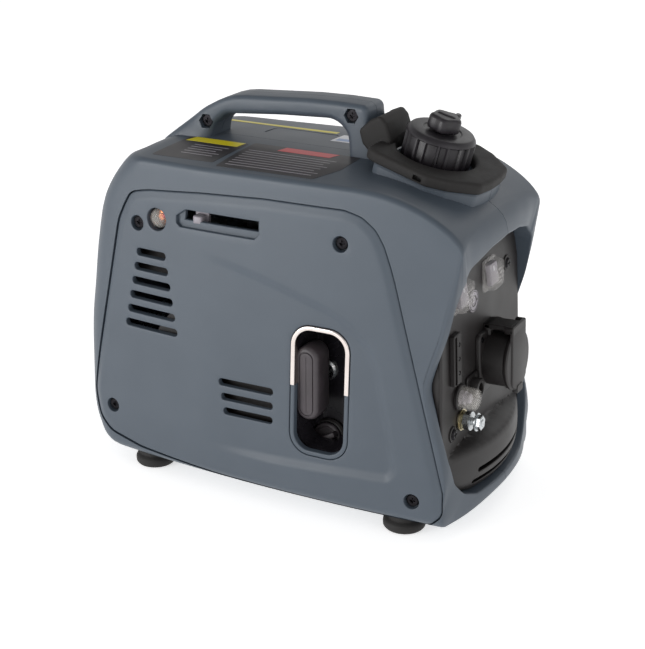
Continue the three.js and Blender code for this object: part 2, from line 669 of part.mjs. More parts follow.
add("end_cover", endCover(), blackPlastic);
onPanel("engine_switch", rocker(), blackPlastic, engineSwitchAt);
onPanel("engine_switch_boot", boot(), clearSilicone, engineSwitchAt);
onPanel("eco_switch", rocker(), blackPlastic, ecoSwitchAt);
onPanel("eco_switch_boot", boot(), clearSilicone, ecoSwitchAt);
add("indicator_strip", block([gap, 4.5], [-63, -50], [upPanel(122), upPanel(163)]), blackPlastic, panel);
onPanel("socket_body", socketBody(), blackPlastic, socketAt);
onPanel("socket_lid", socketLid(), blackPlastic, socketAt);
const hingePin = rod([lidPin, -13.5, pinZ], [lidPin, 13.5, pinZ], 1.25, 1.25, 10);
onPanel("socket_hinge_pin", hingePin, zincSteel, socketAt);
onPanel("dc_socket", dcSocket(), blackPlastic, dcAt);
onPanel("dc_breaker", rod([1.8, 0, 0], [9, 0, 0], 4, 4, 12), blackPlastic, breakerAt);
onPanel("dc_breaker_boot", breakerCup(), clearSilicone, breakerAt);
onPanel("earth_bolt", earthStud(), zincSteel, earthAt);
onPanel("earth_nut", earthNut(), zincSteel, earthAt);
panelScrews.forEach((at, i) => onPanel("panel_screw_" + (i + 1), panHead(), blackSteel, at));

const trayBottom = floorZ + wall + gap;
const baseTray = alongZ(roundedRect(-140, 128, -74, 74, 12), trayBottom, trayBottom + 2.5);
add("base_tray", baseTray, blackSteel);
const footProfile = [[0, 0], [14, 0], [footR, 3], [footR, 8], [13, floorZ - gap], [0, floorZ - gap]];
[[1, -1], [1, 1], [-1, -1], [-1, 1]].forEach(([x, y], i) => {
  add("foot_" + (i + 1), turned(footProfile, 20), softRubber).position.set(x * footX, y * footY, 0);
});

export default group;
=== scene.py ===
import math
import bpy
import bmesh
import numpy as np
from mathutils import Matrix, Vector
from mathutils.geometry import delaunay_2d_cdt


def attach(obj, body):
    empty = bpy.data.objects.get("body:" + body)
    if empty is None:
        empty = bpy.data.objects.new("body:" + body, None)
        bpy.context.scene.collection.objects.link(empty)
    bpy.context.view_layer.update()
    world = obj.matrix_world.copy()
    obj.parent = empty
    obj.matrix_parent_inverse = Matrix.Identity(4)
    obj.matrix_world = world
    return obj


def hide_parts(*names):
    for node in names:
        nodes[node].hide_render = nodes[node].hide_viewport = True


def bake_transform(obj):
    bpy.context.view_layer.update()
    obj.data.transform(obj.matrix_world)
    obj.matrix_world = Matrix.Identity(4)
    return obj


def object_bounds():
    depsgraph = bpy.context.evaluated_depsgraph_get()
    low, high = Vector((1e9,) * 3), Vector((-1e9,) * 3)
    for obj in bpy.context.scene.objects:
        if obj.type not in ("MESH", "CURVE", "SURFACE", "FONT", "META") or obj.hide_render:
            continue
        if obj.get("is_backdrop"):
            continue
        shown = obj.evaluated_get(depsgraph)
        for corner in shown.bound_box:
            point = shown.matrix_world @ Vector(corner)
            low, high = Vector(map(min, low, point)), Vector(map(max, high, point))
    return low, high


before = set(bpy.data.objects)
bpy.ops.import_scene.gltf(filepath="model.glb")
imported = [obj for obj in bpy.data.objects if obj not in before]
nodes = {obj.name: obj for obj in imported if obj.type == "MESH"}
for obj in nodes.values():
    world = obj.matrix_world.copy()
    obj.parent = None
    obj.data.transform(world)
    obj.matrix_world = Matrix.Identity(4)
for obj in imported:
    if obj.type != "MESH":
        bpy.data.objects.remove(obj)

# Portable generator. Shapes are worked out in millimetres and become metres when a mesh is made.
# +X is the control end, the starter side faces -Y, +Z is up.
cadBox = [list(corner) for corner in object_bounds()]
mm = 0.001
print("frame loaded:", len(nodes), "nodes")

camera = dict(place=(0.53108, -0.97151, 0.56527), looksAlong=(-0.44177, 0.81668, -0.37132), lens=79.38)
cameraData = bpy.data.cameras.new("camera")
cameraData.lens = camera["lens"]
cameraData.sensor_width = 36
cameraObject = bpy.data.objects.new("camera", cameraData)
bpy.context.scene.collection.objects.link(cameraObject)
cameraObject.location = camera["place"]
cameraObject.rotation_mode = "QUATERNION"
cameraObject.rotation_quaternion = Vector(camera["looksAlong"]).to_track_quat("-Z", "Y")
bpy.context.scene.camera = cameraObject
print("camera placed")


def linear(hexColour):
    channels = [int(hexColour[i:i + 2], 16) / 255 for i in (1, 3, 5)]
    bent = [c / 12.92 if c <= 0.04045 else ((c + 0.055) / 1.055) ** 2.4 for c in channels]
    return (*bent, 1.0)


def addNode(tree, kind, settings, links):
    # settings name sockets or, where the node has no such socket, its own properties
    node = tree.nodes.new(kind)
    for key, value in settings.items():
        if key in node.inputs:
            node.inputs[key].default_value = value
        else:
            setattr(node, key, value)
    for key, source in links.items():
        tree.links.new(source, node.inputs[key])
    return node


def startMaterial(name):
    material = bpy.data.materials.new(name)
    material.use_nodes = True
    tree = material.node_tree
    tree.nodes.clear()
    shader = addNode(tree, "ShaderNodeBsdfPrincipled", {}, {})
    addNode(tree, "ShaderNodeOutputMaterial", {}, {"Surface": shader.outputs["BSDF"]})
    place = addNode(tree, "ShaderNodeTexCoord", {}, {}).outputs["Object"]
    return material, tree, shader, place


def surfaceFinish(name, dark, light, roughness, toneMm, grainMm, relief, metal=0.0, swing=0.08):
    # colour drifts between dark and light over toneMm; grainMm is the size of the surface texture
    material, tree, shader, place = startMaterial(name)
    tone = addNode(tree, "ShaderNodeTexNoise", {"Scale": 1 / (toneMm * mm), "Detail": 3.0}, {"Vector": place})
    colour = addNode(tree, "ShaderNodeValToRGB", {}, {"Fac": tone.outputs["Fac"]})
    for stop, at, value in zip(colour.color_ramp.elements, (0.32, 0.68), (dark, light)):
        stop.position, stop.color = at, linear(value)
    tree.links.new(colour.outputs["Color"], shader.inputs["Base Color"])
    low, high = roughness - swing / 2, roughness + swing / 2
    wear = {"From Min": 0.3, "From Max": 0.7, "To Min": low, "To Max": high}
    gloss = addNode(tree, "ShaderNodeMapRange", wear, {"Value": tone.outputs["Fac"]})
    tree.links.new(gloss.outputs["Result"], shader.inputs["Roughness"])
    grain = addNode(tree, "ShaderNodeTexNoise", {"Scale": 1 / (grainMm * mm), "Detail": 2.0},
                    {"Vector": place})
    bump = {"Strength": relief, "Distance": grainMm * mm * 0.4}
    texture = addNode(tree, "ShaderNodeBump", bump, {"Height": grain.outputs["Fac"]})
    tree.links.new(texture.outputs["Normal"], shader.inputs["Normal"])
    shader.inputs["Metallic"].default_value = metal
    return material


# spark-eroded ABS shells: an even satin with a fine grain, drawn at 0.9 mm so that it shows
slateAbs = surfaceFinish("moulded ABS, slate", "#444D57", "#48515B", 0.44, 45, 0.9, 0.10)
# the black ABS of the control end and the insert round the starter
blackAbs = surfaceFinish("moulded ABS, black", "#151212", "#1B1717", 0.48, 30, 0.9, 0.14)
# the recess insert takes hardly any light and is a little glossier
glossAbs = surfaceFinish("polished black ABS", "#1E1C20", "#262429", 0.26, 30, 1.2, 0.05)
# thermoplastic rubber: matte, slightly dusty, coarse moulded grain
softRubber = surfaceFinish("moulded soft rubber", "#131110", "#191615", 0.70, 12, 1.2, 0.30)
# glass-filled nylon of the caps: flow marks and a low sheen
capNylon = surfaceFinish("moulded nylon, cap", "#171418", "#201C22", 0.40, 9, 1.1, 0.16)
gripRubber = surfaceFinish("overmoulded grip rubber", "#383336", "#423C40", 0.48, 14, 1.0, 0.20)
tankPolymer = surfaceFinish("blow-moulded polyethylene", "#C2BDAE", "#CCC8BA", 0.5, 30, 1.5, 0.15)
ropeNylon = surfaceFinish("braided nylon rope", "#2A2A2C", "#3C3C3F", 0.8, 2, 1.2, 0.6)
# screen-printed polyester labels: flat colour under a thin clear film
labelBlack = surfaceFinish("printed label film, charcoal", "#232022", "#282427", 0.40, 20, 1.0, 0.02)
labelYellow = surfaceFinish("printed label film, yellow", "#D8C80F", "#DECF1A", 0.36, 20, 1.0, 0.02)
labelRed = surfaceFinish("printed label film, red", "#C4363A", "#CB4044", 0.36, 20, 1.0, 0.02)
labelWhite = surfaceFinish("printed label film, white", "#D6D6DA", "#DEDEE2", 0.36, 20, 1.0, 0.02)
labelGrey = surfaceFinish("printed label film, grey", "#8D888C", "#96919A", 0.4, 20, 1.0, 0.02)
labelBlue = surfaceFinish("printed label film, blue", "#7F96C0", "#8BA2CA", 0.36, 20, 1.0, 0.02)
# vacuum-plated ABS trim: mirror bright with a faint warm tint
platedTrim = surfaceFinish("vacuum-plated trim", "#DDD3CE", "#E8DFDA", 0.14, 20, 3.0, 0.02, metal=1.0,
                           swing=0.04)
# zinc-plated steel: pale, with rolling marks
zincSteel = surfaceFinish("zinc-plated steel", "#B4B8BA", "#CDD1D3", 0.28, 3, 1.0, 0.10, metal=1.0)
brassSteel = surfaceFinish("yellow-passivated steel", "#BCB295", "#CFC7AC", 0.3, 3, 1.0, 0.10, metal=1.0)
# phosphated and oiled screws
darkSteel = surfaceFinish("black phosphated steel", "#1D1C1E", "#2B2A2D", 0.34, 3, 0.8, 0.20, metal=1.0)
castAlloy = surfaceFinish("sand-cast aluminium", "#8C8F90", "#A4A7A8", 0.55, 8, 1.4, 0.50, metal=1.0)
copperWire = surfaceFinish("enamelled copper", "#B5623A", "#CF7F4E", 0.3, 2, 0.8, 0.30, metal=1.0)


def clearFinish(name, dark, light, roughness, opacity):
    material, tree, shader, place = startMaterial(name)
    haze = addNode(tree, "ShaderNodeTexNoise", {"Scale": 140.0, "Detail": 2.0}, {"Vector": place})
    colour = addNode(tree, "ShaderNodeValToRGB", {}, {"Fac": haze.outputs["Fac"]})
    for stop, value in zip(colour.color_ramp.elements, (dark, light)):
        stop.color = linear(value)
    tree.links.new(colour.outputs["Color"], shader.inputs["Base Color"])
    shader.inputs["Roughness"].default_value = roughness
    shader.inputs["IOR"].default_value = 1.42
    shader.inputs["Alpha"].default_value = opacity
    return material


# pressed clear silicone and vinyl: slightly milky, bright where they bend
clearSilicone = clearFinish("clear silicone", "#CBC7C4", "#F2EFEC", 0.05, 0.16)
clearVinyl = clearFinish("clear vinyl", "#D6D2CC", "#F6F2EC", 0.05, 0.14)
print("materials made")


def weld(mesh):
    worked = bmesh.new()
    worked.from_mesh(mesh)
    bmesh.ops.remove_doubles(worked, verts=worked.verts, dist=2e-6)
    bmesh.ops.dissolve_degenerate(worked, edges=worked.edges, dist=1e-6)
    bmesh.ops.recalc_face_normals(worked, faces=worked.faces)
    worked.to_mesh(mesh)
    worked.free()


def solidOf(points, faces):
    mesh = bpy.data.meshes.new("solid")
    mesh.from_pydata([tuple(c * mm for c in p) for p in points], [], faces)
    mesh.validate()
    weld(mesh)
    piece = bpy.data.objects.new("solid", mesh)
    bpy.context.scene.collection.objects.link(piece)
    return piece


def applied(piece):
    bpy.context.view_layer.update()
    graph = bpy.context.evaluated_depsgraph_get()
    done = bpy.data.meshes.new_from_object(piece.evaluated_get(graph))
    piece.modifiers.clear()
    piece.data = done
    return piece


def combine(target, tools, operation):
    for tool in tools:
        change = target.modifiers.new("cut", "BOOLEAN")
        change.operation, change.object, change.solver = operation, tool, "MANIFOLD"
        applied(target)
    for tool in tools:
        bpy.data.objects.remove(tool)
    return target


def joined(*parts):
    # several solids in one mesh, each keeping its own materials
    first = parts[0]
    with bpy.context.temp_override(active_object=first, selected_editable_objects=list(parts)):
        bpy.ops.object.join()
    return first


def painted(piece, material):
    piece.data.materials.clear()
    piece.data.materials.append(material)
    return piece


def placed(piece, name, body, replaced, sharp=32):
    # names the piece, smooths it and hands it to its body
    piece.name = piece.data.name = name
    mesh = piece.data
    mesh.polygons.foreach_set("use_smooth", np.ones(len(mesh.polygons), dtype=bool))
    mesh.set_sharp_from_angle(angle=math.radians(sharp))
    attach(piece, body)
    if replaced:
        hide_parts(*replaced)
    return piece


def readSmooth(table):
    # smooth reading of a curve given as x, value pairs
    xs, ys = np.array(table, float).T
    slope = np.diff(ys) / np.diff(xs)
    bend = slope[1:] * slope[:-1]
    tangent = np.concatenate([[slope[0]], np.where(bend > 0, (slope[1:] + slope[:-1]) / 2, 0), [slope[-1]]])

    def read(x):
        x = np.clip(x, xs[0], xs[-1])
        i = np.clip(np.searchsorted(xs, x) - 1, 0, len(xs) - 2)
        h = xs[i + 1] - xs[i]
        t = (x - xs[i]) / h
        start = (2 * t**3 - 3 * t**2 + 1) * ys[i] + (t**3 - 2 * t**2 + t) * tangent[i] * h
        return start + (3 * t**2 - 2 * t**3) * ys[i + 1] + (t**3 - t**2) * tangent[i + 1] * h

    return read


def smoothStep(x, low, high):
    t = np.clip((x - low) / (high - low), 0, 1)
    return t * t * (3 - 2 * t)


def fallBack(distance, radius):
    # how far a surface falls back this close to a rounded edge
    reach = np.clip(radius - distance, 0, radius)
    return radius - np.sqrt(np.maximum(radius**2 - reach**2, 0))


def lower(a, b, blend):
    h = np.clip(0.5 + 0.5 * (b - a) / blend, 0, 1)
    return b * (1 - h) + a * h - blend * h * (1 - h)


def roundedOutline(corners, radius, step=10):
    count = len(corners)
    radii = [radius] * count if isinstance(radius, (int, float)) else radius
    outline = []
    for i, here in enumerate(corners):
        p = np.array(here, float)
        a = np.array(corners[i - 1], float) - p
        b = np.array(corners[(i + 1) % count], float) - p
        lengthA, lengthB = np.linalg.norm(a), np.linalg.norm(b)
        a, b = a / lengthA, b / lengthB
        half = math.acos(np.clip(a @ b, -1, 1)) / 2
        turn = math.pi - 2 * half
        if radii[i] <= 0 or turn < 0.03:
            outline.append(tuple(p))
            continue
        reach = min(radii[i] / math.tan(half), 0.49 * lengthA, 0.49 * lengthB)
        r = reach * math.tan(half)
        centre = p + (a + b) / np.linalg.norm(a + b) * (r / math.sin(half))
        start, end = p + a * reach - centre, p + b * reach - centre
        total = math.atan2(start[0] * end[1] - start[1] * end[0], start @ end)
        steps = max(2, math.ceil(math.degrees(abs(total)) / step) + 1)
        for k in range(steps):
            c, s = math.cos(total * k / (steps - 1)), math.sin(total * k / (steps - 1))
            outline.append((centre[0] + c * start[0] - s * start[1], centre[1] + s * start[0] + c * start[1]))
    return outline


def rectangle(u0, u1, v0, v1, radius, step=10):
    return roundedOutline([(u0, v0), (u1, v0), (u1, v1), (u0, v1)], radius, step)


def circle(u, v, radius, sides=40):
    return [(u + radius * math.cos(2 * math.pi * i / sides), v + radius * math.sin(2 * math.pi * i / sides))
            for i in range(sides)]


def dense(outline, spacing):
    out = []
    for i, here in enumerate(outline):
        there = outline[(i + 1) % len(outline)]
        parts = max(1, round(math.dist(here, there) / spacing))
        out += [(here[0] + (there[0] - here[0]) * k / parts, here[1] + (there[1] - here[1]) * k / parts)
                for k in range(parts)]
    return out


def anticlockwise(outline):
    p = np.array(outline)
    q = np.roll(p, -1, axis=0)
    return outline if (p[:, 0] * q[:, 1] - q[:, 0] * p[:, 1]).sum() > 0 else outline[::-1]


def inset(outline, distance):
    # moves an anticlockwise outline inwards, or outwards where distance is below zero
    p = np.array(outline, float)
    a, b = p - np.roll(p, 1, axis=0), np.roll(p, -1, axis=0) - p
    a /= np.maximum(np.linalg.norm(a, axis=1, keepdims=True), 1e-9)
    b /= np.maximum(np.linalg.norm(b, axis=1, keepdims=True), 1e-9)
    normal = np.stack([-(a + b)[:, 1], (a + b)[:, 0]], axis=1)
    normal /= np.maximum(np.linalg.norm(normal, axis=1, keepdims=True), 1e-9)
    across = normal[:, 0] * -a[:, 1] + normal[:, 1] * a[:, 0]
    return [tuple(q) for q in p + normal * (distance / np.maximum(across, 0.5))[:, None]]


def within(points, outline):
    p, q = np.array(points, float), np.array(outline, float)
    x, y = p[:, 0][:, None], p[:, 1][:, None]
    x0, y0 = q[:, 0], q[:, 1]
    x1, y1 = np.roll(x0, -1), np.roll(y0, -1)
    rise = np.where(y1 == y0, 1e-12, y1 - y0)
    return (((y0 > y) != (y1 > y)) & (x < (x1 - x0) * (y - y0) / rise + x0)).sum(axis=1) % 2 == 1


def layered(outline, profile, place):
    # rings of one outline: profile gives inset and height from the first flat end to the last
    outline = anticlockwise(outline)
    count = len(outline)
    points, faces = [], []
    for depthIn, height in profile:
        points += [place(u, v, height) for u, v in inset(outline, depthIn)]
    for ring in range(len(profile) - 1):
        for i in range(count):
            j = (i + 1) % count
            faces.append((ring * count + i, ring * count + j, (ring + 1) * count + j, (ring + 1) * count + i))
    faces.append(tuple(range(count))[::-1])
    faces.append(tuple(range((len(profile) - 1) * count, len(profile) * count)))
    return solidOf(points, faces)


def turned(profile, place, sides=48):
    # profile gives radius and height; both ends lie on the axis or the profile closes on itself
    closed = profile if profile[0][0] < 1e-6 else [*profile, profile[0]]
    points, faces = [], []
    for radius, height in closed:
        for i in range(sides):
            angle = 2 * math.pi * i / sides
            points.append(place(max(radius, 1e-5) * math.cos(angle), max(radius, 1e-5) * math.sin(angle),
                                height))
    for ring in range(len(closed) - 1):
        for i in range(sides):
            j = (i + 1) % sides
            faces.append((ring * sides + i, ring * sides + j, (ring + 1) * sides + j, (ring + 1) * sides + i))
    return solidOf(points, faces)


def rod(radius, low, high, place, sides=24):
    return turned([(0, low), (radius, low), (radius, high), (0, high)], place, sides)


def washer(inner, outer, low, high, place, sides=40):
    return turned([(inner, low), (outer, low), (outer, high), (inner, high)], place, sides)


def hexagon(radius, turnDeg=0):
    angles = [math.radians(60 * k + turnDeg) for k in range(6)]
    return [(radius * math.cos(a), radius * math.sin(a)) for a in angles]


def shifted(place, du, dv):
    # the same place, moved across and up
    return lambda u, v, h: place(u + du, v + dv, h)


def rounds(radius, start, end, steps=4):
    # arc for a profile: (inset, drop) pairs of a rounded edge between two angles in degrees
    angles = [math.radians(start + (end - start) * k / steps) for k in range(steps + 1)]
    return [(radius * (1 - math.cos(a)), radius * (1 - math.sin(a))) for a in angles]


def solidCells(verts, cells, rims, loops):
    # the triangles between the outline and its holes: whole patches between rims are judged together
    beside = {}
    for number, cell in enumerate(cells):
        for i in range(3):
            edge = frozenset((cell[i], cell[i - 1]))
            if edge not in rims:
                beside.setdefault(edge, []).append(number)
    near = [[] for _ in cells]
    for pair in beside.values():
        if len(pair) == 2:
            near[pair[0]].append(pair[1])
            near[pair[1]].append(pair[0])
    corners = verts[np.array(cells)]
    u, v = corners[:, 1] - corners[:, 0], corners[:, 2] - corners[:, 0]
    size = np.abs(u[:, 0] * v[:, 1] - u[:, 1] * v[:, 0])
    centres = corners.mean(axis=1)
    inside = within(centres, loops[0])
    for loop in loops[1:]:
        inside &= ~within(centres, loop)
    sliver = 0.02
    inside &= size > sliver
    seen = np.zeros(len(cells), bool)
    for first in np.argsort(-size):
        if seen[first]:
            continue
        seen[first], patch = True, [int(first)]
        while patch:
            here = patch.pop()
            inside[here] = inside[first]
            for other in near[here]:
                if not seen[other]:
                    seen[other] = True
                    patch.append(other)
    return inside


def plate(outline, holes, front, back, place, edge=1.0, holeEdge=0.6, backEdge=0.3, grid=4.0,
          spacing=2.0, steps=4, extra=()):
    # a plate between two surfaces, with rounded rims; front and back give the height at u, v
    def ringsOf(loop, radius, sign):
        loops = []
        for part, total, surface in (("front", radius, front), ("back", backEdge, back)):
            rim = []
            for depthIn, drop in rounds(total, 90, 0, steps if total > 0.5 else 1) if total else [(0, 0)]:
                line = np.array(inset(loop, sign * depthIn))
                height = surface(line[:, 0], line[:, 1]) + (drop if part == "back" else -drop)
                rim.append(np.column_stack([line, height]))
            loops.append(rim)
        return [*loops[0], *loops[1][::-1]]

    outer = dense(anticlockwise(outline), spacing)
    inner = [dense(anticlockwise(hole), spacing) for hole in holes]
    stacks = [ringsOf(outer, edge, 1)] + [ringsOf(hole, holeEdge, -1) for hole in inner]
    points, faces = [], []
    for stack in stacks:
        base, count = len(points), len(stack[0])
        for ring in stack:
            points += [place(*p) for p in ring]
        for r in range(len(stack) - 1):
            for i in range(count):
                j = (i + 1) % count
                faces.append((base + r * count + i, base + r * count + j,
                              base + (r + 1) * count + j, base + (r + 1) * count + i))
    lowest, highest = np.array(outer).min(axis=0), np.array(outer).max(axis=0)
    for which, surface in ((0, front), (-1, back)):
        loops = [stack[which][:, :2] for stack in stacks]
        gu, gv = np.meshgrid(np.arange(lowest[0], highest[0], grid), np.arange(lowest[1], highest[1], grid))
        free = np.column_stack([gu.ravel(), gv.ravel()])
        if len(extra) and which == 0:
            free = np.vstack([free, np.array(extra, float)])
        keep = within(free, inset([tuple(p) for p in loops[0]], 0.4 * spacing))
        for loop in loops[1:]:
            keep &= ~within(free, inset([tuple(p) for p in loop], -0.4 * spacing))
        free = free[keep]
        fixed, edges, start = np.vstack(loops), [], 0
        for loop in loops:
            edges += [(start + i, start + (i + 1) % len(loop)) for i in range(len(loop))]
            start += len(loop)
        flat = [Vector(p) for p in np.vstack([fixed, free])]
        verts, links, cells, _, madeFrom, _ = delaunay_2d_cdt(flat, edges, [], 0, 1e-5)
        verts = np.array([tuple(v) for v in verts])
        solid = solidCells(verts, cells, {frozenset(e) for e, source in zip(links, madeFrom) if source},
                           loops)
        base = len(points)
        heights = surface(verts[:, 0], verts[:, 1])
        points += [place(u, v, h) for (u, v), h in zip(verts, heights)]
        for cell, use in zip(cells, solid):
            if use:
                faces.append(tuple(base + i for i in (cell if which == 0 else cell[::-1])))
    return solidOf(points, faces)


print("shape tools ready")

# The housing's outline curves: position against height, or height against position, in mm
form = dict(halfWidth=98.0, widestZ=20.0, draftDeg=3.0, crown=3000.0, bottomR=9.0, topR=4.5, rearR=20.0,
            noseCrown=456.0, wall=3.2, mouthDepthX=126.0, noseBulge=3.2)
draft = math.tan(math.radians(form["draftDeg"]))
rearLine = readSmooth([(14, -150), (19, -163), (32, -172.5), (46, -177), (73, -178.4), (100, -178.4),
                       (128, -177.4), (155, -174), (194, -169), (230, -161), (245, -153), (257, -144),
                       (268, -133), (276, -118)])
rearTop = readSmooth([(-178.4, 100), (-177.4, 128), (-174, 155), (-169, 194), (-161, 230), (-153, 245),
                      (-144, 257), (-133, 268), (-118, 276), (-100, 284)])
bottomLine = readSmooth([(-178.4, 73), (-177, 46), (-172.5, 32), (-163, 19), (-150, 14), (152, 14),
                         (164, 15.3), (172.5, 19.5)])
creaseLine = readSmooth([(-190, 269.5), (-119, 270.2), (-70, 270.4), (5, 271.5), (69, 271.8), (103, 269),
                         (124.5, 262.7), (146, 251.7), (156.5, 243.2), (162, 236.5)])
crestLine = readSmooth([(-190, 275), (-60, 275.5), (40, 275.5), (80, 273), (117, 267), (135, 259.5),
                        (147, 251.8), (153, 248), (162, 241)])
wingEdge = readSmooth([(20, 156.4), (28, 156.4), (36, 157.2), (44, 157.7), (50, 157.3), (65, 155),
                       (78, 151.5), (90, 147.7), (110, 142.3), (122, 139), (128, 138.3), (134, 139.3),
                       (150, 143.6), (168, 149), (191, 153.4), (208, 157.3), (222.5, 159.7), (234, 161),
                       (240, 161.3)])
mouthHalf = roundedOutline([(45, 28.6), (62, 35), (74, 48), (80, 70), (80, 90), (78, 150), (76, 186),
                            (70, 205), (57, 216.5), (28, 224.5)], [0, 12, 14, 14, 20, 30, 14, 14, 14, 0])


def sideAt(x, z, depth=0.0):
    # half width of the housing at x, z
    flat = form["halfWidth"] - x**2 / form["crown"] - (z - form["widestZ"]) * draft
    low, high = bottomLine(x), np.minimum(creaseLine(x), rearTop(x) + 30)
    across = fallBack(x - rearLine(z), form["rearR"])
    under = np.hypot(fallBack(z - low, form["bottomR"]), across)
    return flat - under - fallBack(high - z, form["topR"]) - depth


def topAt(x, y):
    # height of the upper deck, crowned between its two creases
    edge = form["halfWidth"] - x**2 / form["crown"] - (creaseLine(x) - form["widestZ"]) * draft - form["topR"]
    share = 1 - np.clip(np.abs(y) / edge, 0, 1) ** 1.8
    return lower(creaseLine(x) + (crestLine(x) - creaseLine(x)) * share, rearTop(x), 2.0)


rows = dict(bottom=8, bottomCorner=7, side=52, topCorner=8, top=18)


def sectionAt(x, depth):
    # half section of the housing from the bottom centre round to the crest, as y, z rows
    low = float(bottomLine(x)) + depth
    high = float(topAt(x, sideAt(x, creaseLine(x)))) - depth
    high = min(high, float(lower(creaseLine(x), rearTop(x), 2.0)) - depth)
    bottomR, topR = form["bottomR"], form["topR"]
    corner = low + bottomR * (1 - np.cos(np.linspace(0, math.pi / 2, rows["bottomCorner"])))
    upper = high - topR + topR * np.sin(np.linspace(0, math.pi / 2, rows["topCorner"]))
    u = np.linspace(0, 1, rows["side"] + 2)[1:-1]
    nearRear = smoothStep(-x, 100, 170)
    u = u + (0.5 - 0.5 * np.cos(math.pi * u) - u) * nearRear
    z = np.concatenate([corner, corner[-1] + (upper[0] - corner[-1]) * u, upper])
    shift = np.where(z < (low + high) / 2, -depth, depth)
    y = sideAt(x, z + shift) - depth
    bottomY = np.linspace(0, 1, rows["bottom"] + 1)[:-1] * y[0]
    topY = (1 - np.linspace(0, 1, rows["top"] + 1)[1:]) * y[-1]
    topZ = topAt(x, topY) - depth
    topZ += (z[-1] - (topAt(x, y[-1]) - depth)) * (topY / y[-1])
    return np.concatenate([bottomY, y, topY]), np.concatenate([np.full(rows["bottom"], low), z, topZ])


def closedSkin(columns):
    # columns of half sections as (row, xyz), mirrored about y = 0 and closed at both ends
    grid = np.array(columns)
    across, count = grid.shape[:2]
    far = grid * np.array([1, -1, 1])
    points = [tuple(p) for p in np.concatenate([grid.reshape(-1, 3), far.reshape(-1, 3)])]
    faces, other = [], across * count
    for i in range(across - 1):
        for j in range(count - 1):
            a, b, c, d = i * count + j, (i + 1) * count + j, (i + 1) * count + j + 1, i * count + j + 1
            faces += [(a, b, c, d), (other + d, other + c, other + b, other + a)]
    for i in (0, across - 1):
        faces.append([i * count + j for j in range(count)] + [other + i * count + j
                                                              for j in range(count - 2, 0, -1)])
    return solidOf(points, faces)


def mouthRows():
    # one point of the mouth for each row, as y, z
    line = np.array([(0, 28), *mouthHalf, (0, 227)])
    length = np.concatenate([[0], np.cumsum(np.linalg.norm(np.diff(line, axis=0), axis=1))])
    at = lambda z0: length[np.argmin(np.abs(line[:, 1] - z0) + (line[:, 0] < 50) * 99)]
    stops = [0, at(33.5), at(56), at(202), at(214.5), length[-1]]
    counts = [rows["bottom"], rows["bottomCorner"], rows["side"], rows["topCorner"], rows["top"]]
    places = np.concatenate([np.linspace(a, b, n, endpoint=False) for a, b, n in zip(stops, stops[1:],
                                                                                     counts)])
    places = np.concatenate([places[:-1], [places[-1] * 0.4 + length[-1] * 0.6]])
    places[-1] = length[-1]
    return np.interp(places, length, line[:, 0]), np.interp(places, length, line[:, 1])


